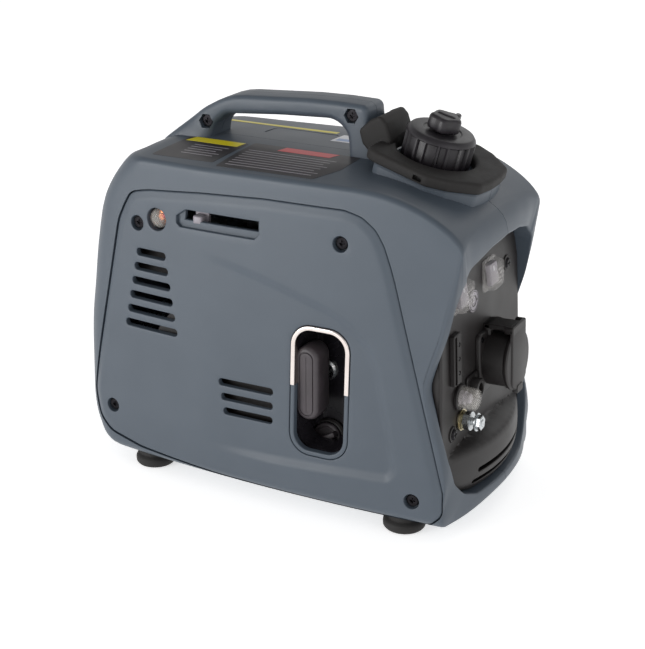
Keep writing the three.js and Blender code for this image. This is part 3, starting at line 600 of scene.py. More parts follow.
def housingSkin():
    stations = [float(rearLine(z)) for z in (100, 112, 122, 130, 138, 146, 154, 163, 172, 182, 192, 202, 212,
                                             222, 231,
                                              239, 246, 252, 258, 263, 268, 272)]
    stations[0] = -178.4
    stations += list(np.arange(-118, 96, 4.5))
    columns = []
    for x in stations:
        y, z = sectionAt(x, 0)
        columns.append(np.column_stack([np.full(len(y), x), y, z]))
    startX = stations[-1]
    y0, z0 = columns[-1][:, 1], columns[-1][:, 2]
    a = rows["bottom"]
    b = a + rows["bottomCorner"]
    c = b + rows["side"]
    d = c + rows["topCorner"]
    endZ = z0.copy()
    endZ[b:c] = np.linspace(25, 232.5, rows["side"])
    # where each row ends on the front edge
    endX = np.empty(len(y0))
    bottomShare = np.linspace(0, 1, a + 1)[:-1]
    endX[:a] = 173.0 - (82 * bottomShare) ** 2 / form["noseCrown"]
    endX[a:b] = np.linspace(158.3, 156.6, b - a)
    endX[b:c] = wingEdge(endZ[b:c])
    endX[c:d] = 161.3
    topShare = (len(y0) - 1 - np.arange(d, len(y0))) / rows["top"]
    endX[d:] = 153.2 + 8.1 * topShare**2

    def frontColumn(t, pullBack=0.0):
        x = startX + (endX - startX) * t - pullBack
        y, z = np.empty(len(x)), np.empty(len(x))
        z[:a] = bottomLine(x[:a])
        y[:a] = bottomShare * (sideAt(x[:a], z[:a]))
        turn = np.linspace(0, math.pi / 2, b - a)
        z[a:b] = bottomLine(x[a:b]) + form["bottomR"] * (1 - np.cos(turn))
        z[b:c] = z0[b:c] + (endZ[b:c] - z0[b:c]) * smoothStep(t, -0.3, 1.0)
        z[c:d] = creaseLine(x[c:d]) - form["topR"] * (1 - np.sin(np.linspace(0, math.pi / 2, d - c)))
        y[a:d] = sideAt(x[a:d], z[a:d])
        y[d:] = sideAt(x[d:], creaseLine(x[d:])) * topShare
        z[d:] = topAt(x[d:], y[d:])
        return np.column_stack([x, y, z])

    shares = 1 - (1 - np.linspace(0, 1, 16)[1:]) ** 1.25
    columns += [frontColumn(t) for t in shares[:-1]]
    rim, before = frontColumn(1.0), frontColumn(1.0, 2.6)
    mouthY, mouthZ = mouthRows()
    mouthX = wingEdge(mouthZ) + 2.8
    mouthX[:b] = np.maximum(mouthX[:b], 172.2 - mouthY[:b] ** 2 / form["noseCrown"])
    mouthX[d - 3:] = 165.0 - 5.2 * (np.clip(mouthY[d - 3:], 0, 60) / 57) ** 2
    mouth = np.column_stack([mouthX, mouthY, mouthZ])
    onTop = smoothStep(np.arange(len(y0)), d - 3, d + 5)[:, None]
    out = np.array([1.0, 0, 0]) * (1 - onTop) * 0.5 + np.array([0.87, 0, 0.5]) * onTop * form["noseBulge"]
    face = lambda t: rim + (mouth - rim) * t + out * 4 * t * (1 - t)
    width = np.maximum(np.linalg.norm(mouth - rim, axis=1), 1)[:, None]
    after, beforeMouth = face(np.minimum(0.4, 2.6 / width)), face(1 - np.minimum(0.25, 1.6 / width))
    corner = lambda p, q, r, t: p * (1 - t) ** 2 + 2 * q * t * (1 - t) + r * t * t
    columns += [corner(before, rim, after, t) for t in np.linspace(0, 1, 6)]
    columns += [face(t * (1 - np.minimum(0.65, 4.2 / width)) + np.minimum(0.4, 2.6 / width))
                for t in (0.3, 0.6)]
    inward = mouth - np.array([2.0, 0, 0])
    columns += [corner(beforeMouth, mouth, inward, t) for t in np.linspace(0, 1, 5)]
    for x in (148.0, 138.0, form["mouthDepthX"]):
        wallX = np.minimum(inward[:, 0] - 2, x)
        columns.append(np.column_stack([wallX, mouth[:, 1] * 0.995, mouth[:, 2]]))
    return closedSkin(columns)


def hollowCore():
    depth = form["wall"]
    columns = []
    for x in [*np.linspace(-173.5, -118, 12), *np.arange(-108, 118, 12), 122.5]:
        y, z = sectionAt(x, depth)
        columns.append(np.column_stack([np.full(len(y), x), np.maximum(y, 0), z]))
    return closedSkin(columns)


sidePlace = lambda u, v, h: (u, -h, v)
farPlace = lambda u, v, h: (-u, h, v)
upPlace = lambda u, v, h: (u, v, h)
outPlace = lambda u, v, h: (h, u, v)
rearPlace = lambda u, v, h: (-h, -u, v)

filler = dict(place=(99.1, 0, 263), tiltDeg=14.0)
fillerTurn = Matrix.Rotation(math.radians(filler["tiltDeg"]), 3, "Y")


def fillerPlace(u, v, h):
    return tuple(fillerTurn @ Vector((u, v, h)) + Vector(filler["place"]))


handle = dict(half=16.0, edgeR=4.5, graspEdgeR=5.0, flare=5.0)
handleCorners = [(-134, 255), (60, 255), (57.5, 282), (54, 300), (52.5, 316), (12, 317), (-72, 311.6),
                 (-97, 298), (-135, 268)]
handleRadii = [7, 7, 60, 60, 6, 300, 60, 40, 9]
graspCorners = [(37, 270), (35, 294), (23, 302.5), (-25, 300), (-75, 295.5), (-86, 286), (-90, 270)]


def handleSolid():
    # flares out to the sides where its rear leg meets the deck
    outline = roundedOutline(handleCorners, handleRadii)
    grasp = roundedOutline(graspCorners, [0, 16, 18, 200, 12, 14, 0])
    leg = lambda u, v: smoothStep(-u, 84, 100) * smoothStep(-v, -292, -272)
    front = lambda u, v: handle["half"] + handle["flare"] * leg(u, v)
    back = lambda u, v: -handle["half"] - handle["flare"] * leg(u, v)
    return plate(outline, [grasp], front, back, sidePlace, edge=handle["edgeR"],
                 holeEdge=handle["graspEdgeR"], backEdge=handle["edgeR"], spacing=2.5, grid=5)


trayHalf = [(-34, -42), (-27, -45.5), (15.5, -51), (31, -44), (50, -27), (52.5, -8)]
trayPlan = [*trayHalf, *[(x, -y) for x, y in trayHalf[::-1]]]
bed = layered(inset(roundedOutline(trayPlan, 9), 2.2), [(0, -20), (0, 9.6), (1.0, 11.2), (2.4, 11.7)],
              fillerPlace)

coverOutline = [(-118, 22.5), (-39, 16.8), (38, 16), (110, 16), (146, 15.5), (156, 26), (156, 45),
                (109, 211), (101, 232), (94, 243), (83, 251), (69, 254.5), (2, 254), (-53, 250.5),
                (-108, 245), (-124, 241), (-131, 229), (-137, 217), (-146, 173), (-169, 62), (-163, 40),
                (-150, 29)]
cover = dict(gap=0.9, thickness=4.8, pocket=6.5, borderMm=8.0, borderDrop=1.7, proud=0.9, edgeR=1.3,
             reliefDepth=2.6, reliefMm=4.2)
coverLine = roundedOutline(coverOutline, [20, 60, 60, 60, 10, 9, 14, 120, 30, 18, 14, 16, 90, 120, 60, 12, 18,
                                          40, 120, 24, 16, 20])
windowSpan = (26.0, 77.0, 53.0, 161.0)
screwsAt = [(-117, 217), (67, 229), (-147, 53), (132, 34)]
primerAt = (-97.5, 223)
slotCorners = [(-78, 223.6), (-74.5, 220.8), (-6, 221.6), (-1.6, 226), (-1.6, 236.4), (-69, 235.7),
               (-78, 229.6)]

pocket = plate(inset(dense(anticlockwise(coverLine), 3), -cover["gap"]), [], lambda u, v: 0 * u + 112,
               lambda u, v: sideAt(u, v) - cover["pocket"], sidePlace, edge=0, backEdge=0)
print("making the housing")
# the shell: a closed skin with the handle and the filler's bed, then every opening and the hollow
housing = combine(housingSkin(), [handleSolid(), bed], "UNION")
neckHole = layered(circle(0, 0, 24, 48), [(0, -50), (0, 40)], fillerPlace)
accessHole = layered(rectangle(-60, 0, 18, 42, 5), [(0, 262), (0, 300)], upPlace)
outletHole = layered(rectangle(-62, -14, 52, 92, 8), [(0, 165), (0, 200)], rearPlace)
farSlots = [layered(rectangle(-40 + i, 60 - i, 70 + i * 12.3, 76.5 + i * 12.3, 3.1), [(0, 80), (0, 120)],
                    farPlace)
            for i in range(6)]
handleScrewsAt = [(-93, 288), (39, 307)]
hexSeats = [layered(circle(x, z, 6.4, 6), [(0, 11.4), (0, 40)], sidePlace) for x, z in handleScrewsAt]
combine(housing, [pocket, neckHole, accessHole, outletHole, *farSlots, *hexSeats, hollowCore()], "DIFFERENCE")
seam = dict(gap=0.4)


def halfOf(whole, sign):
    half = whole.copy()
    half.data = whole.data.copy()
    bpy.context.scene.collection.objects.link(half)
    box = layered(rectangle(-300, 300, -10, 400, 0), [(0, -seam["gap"] / 2), (0, 300)],
                  farPlace if sign < 0 else sidePlace)
    return combine(half, [box], "DIFFERENCE")


left, right = halfOf(housing, -1), halfOf(housing, 1)
bpy.data.objects.remove(housing)
placed(painted(left, slateAbs), "housingLeft", "generator", ["housing_left"], 28)
placed(painted(right, slateAbs), "housingRight", "generator", ["housing_right"], 28)
print("housing halves done")

# The cover: a border that falls away to the gap, and a recessed field in front of the engine
reliefOutline = roundedOutline([(-150, 43), (10, 43), (111, 48.5), (117, 56), (108, 100), (98, 140),
                                (91, 153), (76, 166), (57, 176), (-4, 193), (-61, 204), (-150, 215)],
                               [0, 60, 6, 12, 100, 60, 20, 25, 60, 100, 60, 0])


def nearestEdge(u, v, outline):
    # distance of points to an outline, below zero inside
    q = np.array(outline, float)
    a, b = q, np.roll(q, -1, axis=0)
    p = np.column_stack([u, v])[:, None, :]
    along = b - a
    t = np.clip(((p - a) * along).sum(-1) / np.maximum((along**2).sum(-1), 1e-12), 0, 1)
    away = np.sqrt((((a + along * t[..., None]) - p) ** 2).sum(-1)).min(axis=1)
    return np.where(within(np.column_stack([u, v]), outline), -away, away)


def coverFront(u, v):
    u, v = np.asarray(u, float), np.asarray(v, float)
    fromRim = -nearestEdge(u, v, coverLine)
    border = cover["borderDrop"] * (1 - smoothStep(fromRim, 0, cover["borderMm"]))
    low = smoothStep(v, 24, 60)
    proud = cover["proud"] * low
    fade = smoothStep(u, -62, 18)
    relief = cover["reliefDepth"] * fade * smoothStep(-nearestEdge(u, v, reliefOutline), -cover["reliefMm"],
                                                      cover["reliefMm"])
    return sideAt(u, v) + proud - border * (0.35 + 0.65 * low) - relief


def louvre(x0, x1, z, half):
    return rectangle(x0, x1, z - half, z + half, half - 0.3, 20)


openings = [rectangle(*windowSpan, 18), circle(*primerAt, 9.3, 32), slotCorners]
openings += [circle(x, z, 6.2, 24) for x, z in screwsAt]
openings += [louvre(-118 - i * 2.5, -89 + i * 2.2, 193.5 - i * 12.35, 3.2) for i in range(6)]
openings += [louvre(-38 + i * 2.3, 11, 99.5 - i * 12.1, 3.0) for i in range(3)]
bandLines = [p for d in (-5, -3.4, -1.7, 0, 1.7, 3.4, 5)
             for p in inset(dense(anticlockwise(reliefOutline), 2.5), d)]
borderLines = [p for d in (3, 4.6, 6.2, 8, 10) for p in inset(dense(anticlockwise(coverLine), 2.5), d)]
coverPiece = plate(coverLine, openings, coverFront, lambda u, v: sideAt(u, v) - cover["thickness"], sidePlace,
                   edge=cover["edgeR"], holeEdge=0.7, grid=5, spacing=1.8, extra=bandLines + borderLines)

# a sunken frame round the choke slot, and seats under the screws
slotInner = [(-71.5, 226.6), (-3.8, 227.4), (-3.8, 235.4), (-70.5, 234.8)]
slotFrame = plate(inset(anticlockwise(slotCorners), 0.02), [slotInner], lambda u, v: sideAt(u, v) - 2.2,
                  lambda u, v: sideAt(u, v) - 5.5, sidePlace, edge=0, holeEdge=0.4, backEdge=0, grid=4,
                  spacing=2)
screwSeat = lambda x, z: (lambda u, v, h: (x + u, -(float(sideAt(x, z)) - 5.2 + h), z + v))
seats = [washer(1.9, 6.3, -1.5, 0.5, screwSeat(x, z), 28) for x, z in screwsAt]
coverPiece = joined(coverPiece, slotFrame, *seats)
placed(painted(coverPiece, slateAbs), "sideCover", "generator", ["side_cover"], 30)
print("side cover done")

# Window: a frame of plated trim above, body colour below, and the black insert behind it
frameOuter = rectangle(windowSpan[0] + 0.5, windowSpan[1] - 0.5, windowSpan[2] + 0.5, windowSpan[3] - 0.5,
                       17.5, 8)
window = dict(frameMm=3.7, splitZ=110.0)
frameInner = inset(anticlockwise(frameOuter), window["frameMm"])
flush = lambda extra: (lambda u, v: np.minimum(coverFront(u, v) + extra, 97.9))
ringOf = lambda extra: plate(frameOuter, [frameInner], flush(extra), lambda u, v: sideAt(u, v) - 7, sidePlace,
                             edge=1.0, holeEdge=1.0, grid=4, spacing=2)
upperBox = layered(rectangle(0, 100, window["splitZ"], 200, 0), [(0, 60), (0, 120)], sidePlace)
lowerBox = layered(rectangle(0, 100, 20, window["splitZ"] - 0.3, 0), [(0, 60), (0, 120)], sidePlace)
trim = combine(ringOf(1.0), [upperBox], "INTERSECT")
placed(painted(trim, platedTrim), "windowTrim", "generator", ["window_trim"], 30)
lowerFrame = painted(combine(ringOf(0.0), [lowerBox], "INTERSECT"), slateAbs)


grip = dict(x=38.0, z=110.0, face=87.0, halfWide=10.2, halfTall=31.0)
oilFiller = dict(place=(42, -61, 54), leanDeg=78, barDeg=32)
ropeEye = shifted(sidePlace, grip["x"], grip["z"])


def starterInsert():
    # deep tub with a rounded floor, and a shelf where the oil filler comes through
    outline = rectangle(windowSpan[0] - 1.2, windowSpan[1] + 1.2, windowSpan[2] - 1.2, windowSpan[3] + 1.2,
                        18)
    outside = layered(outline, [(0, 48), (0, 86)], sidePlace)
    inside = layered(inset(anticlockwise(outline), 5.0), [(9, 52), (5, 53), (2, 56), (0.6, 60), (0, 100)],
                     sidePlace)
    eyelet, well = rod(5.2, 40, 60, ropeEye, 28), rod(13.2, -30, 6, oilPlace, 36)
    return combine(outside, [inside, eyelet, well], "DIFFERENCE")


oilTurn = Matrix.Rotation(math.radians(oilFiller["leanDeg"]), 3, "X")


def oilPlace(u, v, h):
    return tuple(oilTurn @ Vector((u, v, h)) + Vector(oilFiller["place"]))


insert = painted(starterInsert(), glossAbs)
bezel = turned([(4.6, 51), (9, 51), (9, 54), (7.4, 55.4), (4.6, 55.4)], ropeEye, 32)
collar = turned([(10.5, -14), (15.5, -14), (15.5, -3.5), (14, -2.4), (12.9, -2.4), (12.9, -6), (10.5, -6)],
                oilPlace, 40)
insert = joined(insert, painted(bezel, zincSteel), painted(collar, blackAbs), lowerFrame)
placed(insert, "starterInsert", "generator", ["starter_recess"], 30)

gripLine = rectangle(grip["x"] - grip["halfWide"], grip["x"] + grip["halfWide"],
                     grip["z"] - grip["halfTall"], grip["z"] + grip["halfTall"], 10)
face = grip["face"]
gripProfile = [(2.0, face - 21), (0.6, face - 20), (0, face - 18), (0, face - 4.5), (0.7, face - 2.4),
               (1.9, face - 1.1), (3.4, face - 0.5), (3.9, face - 0.5), (4.2, face - 1.2), (4.7, face - 1.2),
               (5.0, face - 0.3), (7.0, face), (9.0, face)]
gripPiece = layered(gripLine, gripProfile, sidePlace)
placed(painted(gripPiece, gripRubber), "starterGrip", "starter_grip_body", ["starter_grip"],
       50)
ropeRings = np.linspace(46.5, face - 20.5, 24)
rope = layered(circle(grip["x"], grip["z"], 1.9, 16), [(0.05 * (i % 2), h) for i, h in enumerate(ropeRings)],
               sidePlace)
placed(painted(rope, ropeNylon), "starterRope", "starter_grip_body", ["starter_rope"], 60)
rope.parent = None
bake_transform(rope)
print("starter done")

oilHead = turned([(0, -4.5), (11.6, -4.5), (12.3, -3.8), (12.3, -0.9), (11.4, 0), (9.5, 0.3), (8.5, -0.4),
                  (0, -0.4)],
                 oilPlace, 48)
barTurn = math.radians(oilFiller["barDeg"])


def oilBarPlace(u, v, h):
    c, s = math.cos(barTurn), math.sin(barTurn)
    return oilPlace(c * u - s * v, s * u + c * v, h)


oilBar = layered(rectangle(-11, 11, -2.4, 2.4, 1.6), [(-0.3, -1.0), (0, 4.6), (0.5, 5.6), (1.3, 6.0)],
                 oilBarPlace)
placed(painted(joined(oilHead, oilBar), gripRubber), "oilCap", "oil_cap_body", ["oil_cap"],
       35)

# Filler: tray, cap, knob
ringPlan = [(-40, -42), *trayPlan[1:-1], (-40, 42)]
trayRing = plate(roundedOutline(ringPlan, 9), [circle(0, 0, 31, 72)], lambda u, v: 0 * u + 20.8,
                 lambda u, v: 0 * u + 12.0, fillerPlace, edge=3.2, holeEdge=3.4, backEdge=1.2, grid=8,
                 spacing=2.2)
wingCorners = [(47.5, 298), (50.5, 288), (57, 281), (66, 280.5), (74, 284), (75.5, 293), (71, 306), (66, 311),
               (57, 307)]
wings = plate(roundedOutline(wingCorners, 4), [], lambda u, v: 0 * u + 20.6, lambda u, v: 0 * u - 20.6,
              sidePlace, edge=2.6, backEdge=2.6, grid=8, spacing=1.5)
legSlot = layered(rectangle(20, 61.2, 250, 330, 0), [(0, -16.5), (0, 16.5)], sidePlace)
capClear = rod(31, 0, 60, fillerPlace, 72)
drain = layered(rectangle(4.5, 12, -53, -45.5, 1.0), [(0, 13.6), (0, 17.4)], fillerPlace)
tray = combine(trayRing, [wings], "UNION")
combine(tray, [legSlot, capClear, drain], "DIFFERENCE")
placed(painted(tray, softRubber), "fuelTray", "generator", ["fuel_tray"], 38)


def ribbedCircle(base, rib, lobes, finDeg, pairDeg):
    outline = []
    for k in range(360):
        turn = (k + 0.5) % (360 / lobes) - 180 / lobes
        fin = sum(smoothStep(-abs(turn - side * pairDeg), -finDeg, -finDeg * 0.45) for side in (-1, 1))
        radius = base + rib * min(1.0, float(fin))
        outline.append((radius * math.cos(math.radians(k)), radius * math.sin(math.radians(k))))
    return outline


capLine = ribbedCircle(25.0, 2.2, 9, 3.6, 8.0)
capShell = layered(capLine, [(0.6, 12.6), (0, 13.4), (0, 34.5), (0.5, 35.6), (1.2, 36.2)], fillerPlace)
capLid = turned([(0, 34.5), (26.6, 34.5), (27.0, 35.2), (26.6, 36.4), (24.8, 38.7), (23.4, 39.3),
                 (15.5, 39.3), (14.6, 38.6), (0, 38.6)], fillerPlace, 90)
capBore = rod(21.2, 0, 32.8, fillerPlace, 48)
capPiece = combine(joined(capShell, capLid), [capBore], "DIFFERENCE")
placed(painted(capPiece, capNylon), "fuelCap", "cap_turn_body", ["fuel_cap"], 32)
knobLine = []
for angle in [math.radians(k) for k in range(0, 360, 4)]:
    lobed = 11.9 + 0.9 * math.cos(5 * angle)
    knobLine.append((lobed * math.cos(angle), lobed * math.sin(angle)))
knob = layered(knobLine, [(1.6, 39.7), (0.3, 40.6), (0, 42), (0, 48.6), (0.6, 50.2), (1.8, 51.1),
                          (3.2, 51.3)], fillerPlace)
nib = layered(rectangle(2.4, 7.0, 8, 14.6, 2.0), [(0.4, 45.2), (0, 45.8), (0, 50.4), (0.8, 51.3)],
              fillerPlace)
ridge = layered(rectangle(-7.5, 7.5, -2.2, 2.2, 2.0), [(0, 50.5), (0, 51.6), (0.9, 52.2)], fillerPlace)
placed(painted(joined(knob, nib, ridge), capNylon), "ventKnob", "vent_knob_body",
       ["vent_knob"], 40)
print("filler done")

# Control end: a panel that leans back, above a belly that bulges out
panel = dict(foot=(151.0, 76.0), lean=math.atan2(6.5, 131), bellyCrown=300, wall=3.0,
             screwsAt=[(-60, 82), (55, 82), (50, 186)])
cosLean, sinLean = math.cos(panel["lean"]), math.sin(panel["lean"])
upPanel = lambda z: (z - panel["foot"][1]) / cosLean


def onPanel(y, z):
    # place for a piece of the panel: u across to +Y, v up the panel, h out of it
    v0 = upPanel(z)
    return lambda u, v, h: (panel["foot"][0] + h * cosLean - (v + v0) * sinLean, y + u,
                            panel["foot"][1] + h * sinLean + (v + v0) * cosLean)


bellyLine = readSmooth([(27, 163.2), (30, 166.5), (36, 169.6), (46, 170.8), (58, 170.2), (64.5, 168.6),
                        (66.6, 166.0), (68.6, 160.0), (70.6, 152.5), (74, 147), (90, 130), (240, 100)])
mouthLine = anticlockwise([(0, 28), *mouthHalf, (0, 227), *[(-y, z) for y, z in mouthHalf[::-1]]])


def panelFront(u, v):
    u, v = np.asarray(u, float), np.asarray(v, float)
    flat = panel["foot"][0] - (v - panel["foot"][1]) * sinLean / cosLean
    belly = bellyLine(v) - u**2 / panel["bellyCrown"]
    return -lower(-flat, -belly, 1.2)


endSlots = [roundedOutline([(-46, 35.4), (50, 35.4), (50, 39.0), (-46, 39.0)], 1.75, 30),
            roundedOutline([(-40, 44.0), (56, 44.0), (56, 47.6), (-40, 47.6)], 1.75, 30)]
ledgeLines = [(u, v) for v in (62, 64, 65.4, 66.6, 67.6, 68.6, 69.6, 70.6, 72, 74) for u in range(-66, 67, 3)]
endCover = plate(inset(mouthLine, 0.7), endSlots, panelFront, lambda u, v: panelFront(u, v) - panel["wall"],
                 outPlace, edge=1.4, holeEdge=0.5, grid=4.5, spacing=2.5, extra=ledgeLines)
returnWall = plate(inset(mouthLine, 0.7), [inset(mouthLine, 2.6)], lambda u, v: panelFront(u, v) - 2.0,
                   lambda u, v: 0 * u + 129.0, outPlace, edge=0, holeEdge=0, grid=6, spacing=3)
placed(painted(joined(endCover, returnWall), blackAbs), "endCover", "generator",
       ["end_cover"], 34)


switches = dict(at={"engine": (-47, 190), "eco": (12, 189)}, tiltDeg=7)


def softBoot(y, z, name, replaced):
    # flanged clear boot over a rocker, with a ribbed crown
    at = onPanel(y, z)
    boot = layered(rectangle(-12, 12, -13, 13, 3.2), [(0, 0.3), (0, 1.6), (0.5, 2.1), (1.9, 2.3), (2.5, 8.2),
                                                      (3.2, 9.6), (4.4, 10.3)], at)
    ribs = [layered(rectangle(-6.6, 6.6, v - 0.8, v + 0.8, 0.7), [(0, 9.8), (0, 10.5), (0.4, 10.9)], at)
            for v in (-5, -1.7, 1.7, 5)]
    placed(painted(joined(boot, *ribs), clearSilicone), name, "generator", replaced, 40)


def rocker(y, z, name, body, node):
    at = onPanel(y, z)
    tilt = math.radians(switches["tiltDeg"])
    tilted = lambda u, v, h: at(u, v * math.cos(tilt) + h * math.sin(tilt),
                                h * math.cos(tilt) - v * math.sin(tilt) + 0.3)
    paddle = layered(rectangle(-7.4, 7.4, -8.6, 8.6, 1.2), [(0, 1.4), (0, 4.6), (0.5, 5.2)], tilted)
    mark = layered(rectangle(-0.7, 0.7, 2.2, 6.2, 0.5), [(0, 5.1), (0, 5.45)], tilted)
    placed(joined(painted(paddle, labelGrey), painted(mark, labelWhite)), name, body, [node],
           40)


for which, (y, z) in switches["at"].items():
    softBoot(y, z, which + "SwitchBoot", [which + "_switch_boot"])
    rocker(y, z, which + "Switch", which + "_switch_body", which + "_switch")

lamp = dict(stripAt=(-56.5, 142.5), pitch=11.5, offset=2.2, holeR=1.9)
strip = onPanel(*lamp["stripAt"])
lampPlaces = [shifted(strip, lamp["offset"], k * lamp["pitch"]) for k in (-1, 0, 1)]
stripBase = layered(rectangle(-6.5, 6.5, -20.4, 20.4, 1.0), [(0, 0.3), (0, 3.4), (0.6, 4.2)], strip)
lampHoles = [rod(lamp["holeR"], 3.0, 6, place, 20) for place in lampPlaces]
channel = layered(rectangle(-5.6, -1.9, -19.2, 19.2, 0.5), [(0, 2.2), (0, 6)], strip)
combine(stripBase, [*lampHoles, channel], "DIFFERENCE")
lenses = [turned([(0, 2.6), (1.5, 2.6), (1.5, 3.3), (0.9, 3.9), (0, 4.1)], place, 20) for place in lampPlaces]
placed(joined(painted(stripBase, blackAbs), *[painted(lens, glossAbs) for lens in lenses]), "indicatorStrip",
       "generator", ["indicator_strip"], 35)

outlet = dict(at=(11, 121), flangeHalf=25, screwAt=20.6, pinAt=9.5)
socket = onPanel(*outlet["at"])
half = outlet["flangeHalf"]
flange = layered(rectangle(-half, half, -half, half, 4), [(0, 0.3), (0, 2.8), (0.5, 3.6), (1.4, 4.0)], socket)
barrel = turned([(0, 3.5), (22.6, 3.5), (22.6, 18.5), (22.2, 21.2), (21.4, 22.0), (19.8, 22.0), (19.3, 21.4),
                 (19.3, 5.2), (0, 5.2)], socket, 72)
pins = [rod(2.5, 4.6, 9, shifted(socket, s * outlet["pinAt"], 0), 16) for s in (-1, 1)]
ear = layered(rectangle(-9, 9, 25.6, 29.7, 1.0), [(0.6, 0.6), (0, 1.2), (0, 22.6), (0.5, 23.1)], socket)
earRoot = layered(rectangle(-9, 9, 19, 29.7, 1.0), [(0, 0.4), (0, 5.0), (0.6, 6.0)], socket)
lugs = [turned([(0, 3.9), (2.3, 3.9), (2.1, 4.9), (1.2, 5.3), (0, 5.3)],
               shifted(socket, a * outlet["screwAt"], b * outlet["screwAt"]), 20)
        for a in (-1, 1) for b in (-1, 1)]
placed(joined(painted(joined(flange, ear, earRoot, combine(barrel, pins, "DIFFERENCE")), blackAbs),
              *[painted(screw, darkSteel) for screw in lugs]), "socketBody", "generator",
       ["socket_body"], 35)
disc = turned([(0, 22.6), (24.2, 22.6), (24.5, 23.2), (24.5, 24.6), (23.8, 25.4), (22.6, 25.7), (0, 25.7)],
              socket, 90)
band = layered(roundedOutline([(-15, -17), (-8, -23.2), (8, -23.2), (15, -17), (14, 26), (-14, 26)],
                              [6, 6, 6, 6, 4, 4]),
               [(0, 24.6), (0, 25.9), (0.5, 26.7), (1.5, 27.0)], socket)
tab = layered(rectangle(-6, 6, -27, -20, 2), [(0, 23.2), (0, 26.6), (0.6, 27.6)], socket)
bridge = layered(rectangle(-14, 14, 20, 30.8, 3), [(0, 24.7), (0, 26.0), (0.8, 26.9)], socket)
cheeks = [layered(rectangle(a, b, 24.9, 30.8, 1.6), [(0.4, 19.2), (0, 19.8), (0, 26.2), (0.6, 26.8)], socket)
          for a, b in ((-14, -9.5), (9.5, 14))]
lidPiece = joined(disc, band, tab, bridge, *cheeks)
placed(painted(lidPiece, blackAbs), "socketLid", "socket_lid_body", ["socket_lid"], 35)
nodes["socket_hinge_pin"].data.materials[0] = zincSteel

lowVoltage = dict(breakerAt=(-47, 108), socketAt=(-24, 107), earthAt=(-44, 88))
breaker = onPanel(*lowVoltage["breakerAt"])
bezelRing = turned([(5.8, 0.3), (10.4, 0.3), (10.4, 2.2), (9.6, 3.0), (9.0, 3.0), (9.0, 1.2), (5.8, 1.2)],
                   breaker, 48)
bootCup = turned([(8.4, 1.4), (8.9, 1.4), (8.6, 14.4), (7.8, 15.6), (6.6, 16.0), (0, 16.0), (0, 14.8),
                  (6.2, 14.8), (7.4, 14.0), (8.0, 2)], breaker, 48)
placed(painted(bootCup, clearVinyl), "breakerBoot", "generator", ["dc_breaker_boot"], 40)
button = turned([(0, 1.8), (5.4, 1.8), (5.4, 6), (4.0, 6.2), (4.0, 9.6), (3.4, 10.2), (0, 10.2)], breaker, 36)
placed(painted(button, labelGrey), "breakerButton", "breaker_body", ["dc_breaker"], 40)
dc = onPanel(*lowVoltage["socketAt"])
dcBody = turned([(0, 0.3), (8.5, 0.3), (8.5, 7.6), (7.9, 8.8), (5.6, 9), (5.0, 8.4), (5.0, 3), (0, 3)], dc,
                48)
dcPlate = layered(rectangle(-10.5, 10.5, -12, 11, 3), [(0, 0.25), (0, 1.4), (0.6, 2.0)], dc)
placed(painted(joined(dcBody, dcPlate, bezelRing), blackAbs), "dcSocket", "generator",
       ["dc_socket"], 35)

earth = onPanel(*lowVoltage["earthAt"])
stud = turned([(0, -6), (3, -6), (3, 18.4), (2.4, 19), (0, 19)], earth, 24)
washerOut = turned([(3, 13), (6.8, 13), (7.2, 13.4), (7.2, 14.2), (3, 14.2)], earth, 40)
hexHead = layered(hexagon(6, 10), [(0.3, 14.2), (0, 14.6), (0, 17.6), (0.6, 18.2)], earth)
placed(painted(joined(stud, washerOut, hexHead), zincSteel), "earthBolt", "generator",
       ["earth_bolt"], 35)
stack = [washer(3.3, r, a, b, earth) for r, a, b in ((8.6, 0.4, 1.8), (7.6, 1.9, 3.2))]
nutHex = layered(hexagon(7.2), [(0.5, 3.3), (0, 3.8), (0, 7.6), (0.6, 8.2)], earth)
topWasher = washer(3.3, 7.4, 8.4, 9.2, earth)
plated = [painted(part, zincSteel) for part in (nutHex, topWasher)]
placed(joined(*[painted(part, brassSteel) for part in stack], *plated),
       "earthNut", "generator", ["earth_nut"], 35)

for number, (y, z) in enumerate(panel["screwsAt"]):
    at = onPanel(y, z)
    cup = turned([(4.6, 0.3), (6.6, 0.3), (6.4, 1.0), (5.2, 1.3), (4.6, 1.0)], at, 32)
    head = turned([(0, 0.3), (4.5, 0.3), (4.5, 1.4), (3.2, 2.6), (0, 2.8)], at, 32)
    arms = [layered(rectangle(-a, a, -b, b, 0), [(0, 1.5), (0, 4)], at)
            for a, b in ((2.7, 0.55), (0.55, 2.7))]
    combine(head, arms, "DIFFERENCE")
    placed(joined(painted(head, darkSteel), painted(cup, blackAbs)), f"panelScrew{number + 1}", "generator",
           [f"panel_screw_{number + 1}"], 35)

# a plain round symbol between the switches
symbol = onPanel(-18, 176)
symbolDisc = layered(circle(0, 0, 8.6, 40), [(0, 0.1), (0, 0.9)], symbol)
symbolRings = [washer(r0, r1, 0.8, 1.1, symbol) for r0, r1 in ((7.2, 7.9), (3.4, 4.6))]
symbolBars = [layered(rectangle(a, b, -0.8, 0.8, 0.2), [(0, 0.8), (0, 1.1)], symbol)
              for a, b in ((-6.2, -4.4), (4.4, 6.2))]
legend = joined(painted(symbolDisc, labelGrey), *[painted(r, labelBlack) for r in symbolRings + symbolBars])
placed(legend, "symbolDisc", "generator", [], 35)
print("control end done")

